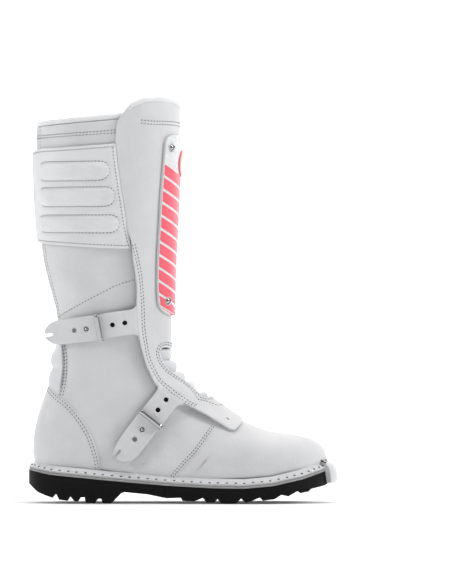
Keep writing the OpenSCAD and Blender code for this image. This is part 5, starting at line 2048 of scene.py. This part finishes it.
        # Painted shade: a thin dark disc under each strap hole but the open one stands for the shadow seen
        # through the hole.
        shade_discs = Mesh()
        for k, spot in enumerate(self.hole_spots):
            if k == self.open_hole:
                continue
            u = self.length_of(spot)
            p, over, out = self.frame_at(np.array([u]))
            lift = self.rest(np.array([u]), np.array([0.0]))[0]
            verts, faces = lathe([(0, -0.25), (3.1, -0.25), (3.1, -0.1), (0, -0.1)], 24)
            shade_discs.merge(stood(Mesh().add(verts, faces), p[0] + out[0] * lift, over[0], out[0]))
        rides(self.body, made, stud, piece(self.name + "_hole_backing", shade_discs, Finish.DARK, 40))


def ring_in(loop: Array, distance: float) -> Array:
    """Flat loop moved towards the material, which lies to its left."""
    run = unit(np.roll(loop, -1, 0) - np.roll(loop, 1, 0))
    return loop + distance * np.stack([-run[:, 1], run[:, 0]], -1)


UPPER_TAIL = ((-24, 12.5), (-13, 12.4), (-8, 11), (-3.5, 8), (-0.8, 5), (0, 3.6), (-0.4, 3), (-4, 2.9),
              (-7.3, 2.9), (-8.6, 2.3), (-8.9, 1.3), (-8.2, 0.4), (-5, 0.1), (-1, 0), (-0.3, -0.8),
              (-0.2, -2.5), (-2, -6), (-6, -9.3), (-11, -11.3), (-17, -12.3), (-24, -12.5))
LOWER_TAIL = ((-24, 12.5), (-15, 12.3), (-8, 10.5), (-3, 7), (-0.6, 3), (0, 0), (-0.2, -2.4), (-1.2, -3.6),
              (-5, -3.4), (-8.5, -3.4), (-9.8, -4.8), (-9, -6.3), (-6, -6.5), (-2.8, -6.7), (-2.6, -7.6),
              (-5, -9.6), (-10, -11.4), (-17, -12.4), (-24, -12.5))


def buckles() -> tuple[Buckle, Buckle]:
    """The two straps."""
    upper = Buckle(
        "upper", "upper_strap", "shaft",
        ((-34.4, 183.9), (-47.4, 181.9), (-60, 180.1), (-72, 178), (-86.5, 175.4), (-102, 173.2),
         (-117, 171)),
        (-83, 175.2), ((-57.8, 180.3), (-70.3, 178.2), (-95, 174.2), (-107, 172.4)),
        66.0, 0.006, 96.0, tail=UPPER_TAIL)
    lower = Buckle(
        "lower", "lower_strap", "foot",
        ((-7.1, 118), (-14.9, 107.4), (-24.2, 95.1), (-33.5, 82.7), (-42.8, 70.3), (-51.5, 58.7),
         (-58.6, 49.2), (-65, 40.7)),
        (-32, 84), ((-17.5, 104.2), (-25.3, 94), (-40.6, 73.4), (-47.6, 64.4)),
        200.0, 0.0, 82.0, tail=LOWER_TAIL)
    return upper, lower


# ---------------------------------------------------------------- inside, hidden parts, studio


@dataclass
class Inside:
    """The footbed, and finishes of the parts that stay as they are."""

    hidden: tuple = (
        ("insole_board", Finish.BOARD), ("shank", Finish.STEEL), ("toe_puff", Finish.BOARD),
        ("heel_stiffener", Finish.BOARD), ("lower_catch_plate", Finish.STEEL),
        ("lower_catch_rivets", Finish.STEEL), ("upper_catch_plate", Finish.STEEL),
        ("upper_catch_rivets", Finish.STEEL), ("calf_loop_tape", Finish.TAPE),
        ("calf_hook_tape", Finish.TAPE))

    def build(self) -> None:
        """Makes the footbed and dresses the hidden parts."""
        s, a = np.meshgrid(np.linspace(1.9, 9.8, 90), np.linspace(148, 212, 30), indexing="ij")
        rise = 0.5 * np.cos((a - 180) / 32 * math.pi)
        pad = wall(FORM.place(s, a, -6.6), FORM.place(s, a, -9.6 - rise))
        bed = piece("footbed_cloth", pad, Finish.FOAM, 60)
        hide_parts("footbed")
        rides("foot", bed)
        for node, finish in self.hidden:
            target = bpy.data.objects.get(node)
            if target is None:
                log.warning("%s has no object of its own", node)
                continue
            for slot in target.material_slots:
                slot.material = finish.material
            if not target.material_slots:
                target.data.materials.append(finish.material)
            log.info("%s: kept, %s", node, finish.name.lower())


@dataclass
class Studio:
    """Pale floor that glows with painted light away from the boot, soft lights and the camera."""

    lens: float = 400.0
    aim: tuple = (0.043, 0.2105)
    frame_height: float = 0.584

    def light(self, name: str, place: tuple, target: tuple, size: float, power: float,
              tall: Optional[float] = None) -> None:
        """Adds a soft area light that points at a target."""
        data = bpy.data.lights.new(name, "AREA")
        data.energy, data.size = power, size
        if tall:
            data.shape, data.size_y = "RECTANGLE", tall
        made = bpy.data.objects.new(name, data)
        made.location = place
        made.rotation_euler = (Vector(target) - Vector(place)).to_track_quat("-Z", "Y").to_euler()
        bpy.context.scene.collection.objects.link(made)

    def sky(self, tree: bpy.types.NodeTree, strength: float) -> None:
        """White surroundings that are darker in front of and behind the boot than beside it.

        Args:
            tree: Nodes of the world.
            strength: Brightness at the sides.
        """
        place = tree.nodes.new("ShaderNodeTexCoord")
        split = tree.nodes.new("ShaderNodeSeparateXYZ")
        size = tree.nodes.new("ShaderNodeMath")
        size.operation = "ABSOLUTE"
        ramp = tree.nodes.new("ShaderNodeMapRange")
        ramp.inputs["From Min"].default_value = 0.25
        ramp.inputs["From Max"].default_value = 0.95
        ramp.inputs["To Min"].default_value = strength
        ramp.inputs["To Max"].default_value = strength * 0.25
        tree.links.new(place.outputs["Generated"], split.inputs[0])
        tree.links.new(split.outputs["Y"], size.inputs[0])
        tree.links.new(size.outputs[0], ramp.inputs["Value"])
        back = tree.nodes["Background"]
        back.inputs[0].default_value = (1, 1, 1, 1)
        tree.links.new(ramp.outputs[0], back.inputs[1])

    def build(self) -> None:
        """Makes the floor, the lights and the camera."""
        scene = bpy.context.scene
        bend = np.linspace(0, math.pi / 2, 18)
        curve = [(7.6 + 1.6 * math.sin(t), 1.6 - 1.6 * math.cos(t)) for t in bend]
        profile = [(-11.0, 0.0), (0.0, 0.0), (1.6, 0.0), (4.5, 0.0)] + curve + [(9.2, 9.0)]
        xs = np.linspace(-12, 12, 13)
        grid = np.array([[(x * 1000, y * 1000, z * 1000) for x in xs] for y, z in profile])
        data = bpy.data.meshes.new("floor")
        faces = grid_faces(len(profile), len(xs), False, 0, True)
        data.from_pydata((grid.reshape(-1, 3) * MM).tolist(), [], faces)
        data.shade_smooth()
        m = Shader("floor_paper")
        # Painted light: the floor paper glows, faintly within a metre of the boot and brightly from one to
        # four metres out.
        away = m.node("ShaderNodeVectorMath", {"operation": "LENGTH"}, {0: m.place}, "Value")
        painted_floor_glow = m.mix(m.ramp(away, 1.0, 4.0), rgb(0.08, 0.08, 0.08), rgb(0.85, 0.85, 0.85))
        paper = m.mix(m.noise(6, 3) * 0.3, rgb(0.9, 0.9, 0.9), rgb(0.87, 0.87, 0.87))
        m.set(Base_Color=paper, Roughness=0.95, Specular_IOR_Level=0.1, Emission_Color=painted_floor_glow,
              Emission_Strength=1.0)
        data.materials.append(m.material)
        floor = bpy.data.objects.new("floor", data)
        scene.collection.objects.link(floor)
        world = bpy.data.worlds.new("studio")
        world.use_nodes = True
        self.sky(world.node_tree, 0.44)
        scene.world = world
        self.light("key", (2.6, -0.9, 1.7), (0, 0, 0.18), 0.6, 38)
        self.light("left", (-2.6, -1.0, 1.5), (0, 0, 0.18), 0.8, 26)
        self.light("top", (0.1, -0.5, 2.5), (0, 0, 0), 1.2, 19)
        self.light("sweep", (0.0, 1.2, 2.6), (0, 3.6, 0.6), 3.5, 95, 2.0)
        view = scene.view_settings
        view.view_transform, view.look = "Standard", "None"
        view.exposure, view.gamma = 0.0, 1.0
        data = bpy.data.cameras.new("camera")
        data.lens, data.sensor_width = self.lens, 36
        made = bpy.data.objects.new("camera", data)
        far = self.frame_height * self.lens / 36
        made.location = (self.aim[0], -far, self.aim[1])
        made.rotation_euler = (math.pi / 2, 0, 0)
        data.clip_end = 50
        scene.collection.objects.link(made)
        scene.camera = made


def main() -> None:
    """Builds the boot and the studio round it."""
    logging.basicConfig(level=logging.INFO, format="%(name)s %(message)s")
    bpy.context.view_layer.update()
    Studio().build()
    sole = Sole()
    sole.build()
    ToeGuard().build(sole.loop)
    Upper().build()
    FrontPanel().build()
    ShinPlate().build()
    CalfFlap().build()
    for buckle in buckles():
        buckle.build()
    Inside().build()


if __name__ == "__main__":
    main()
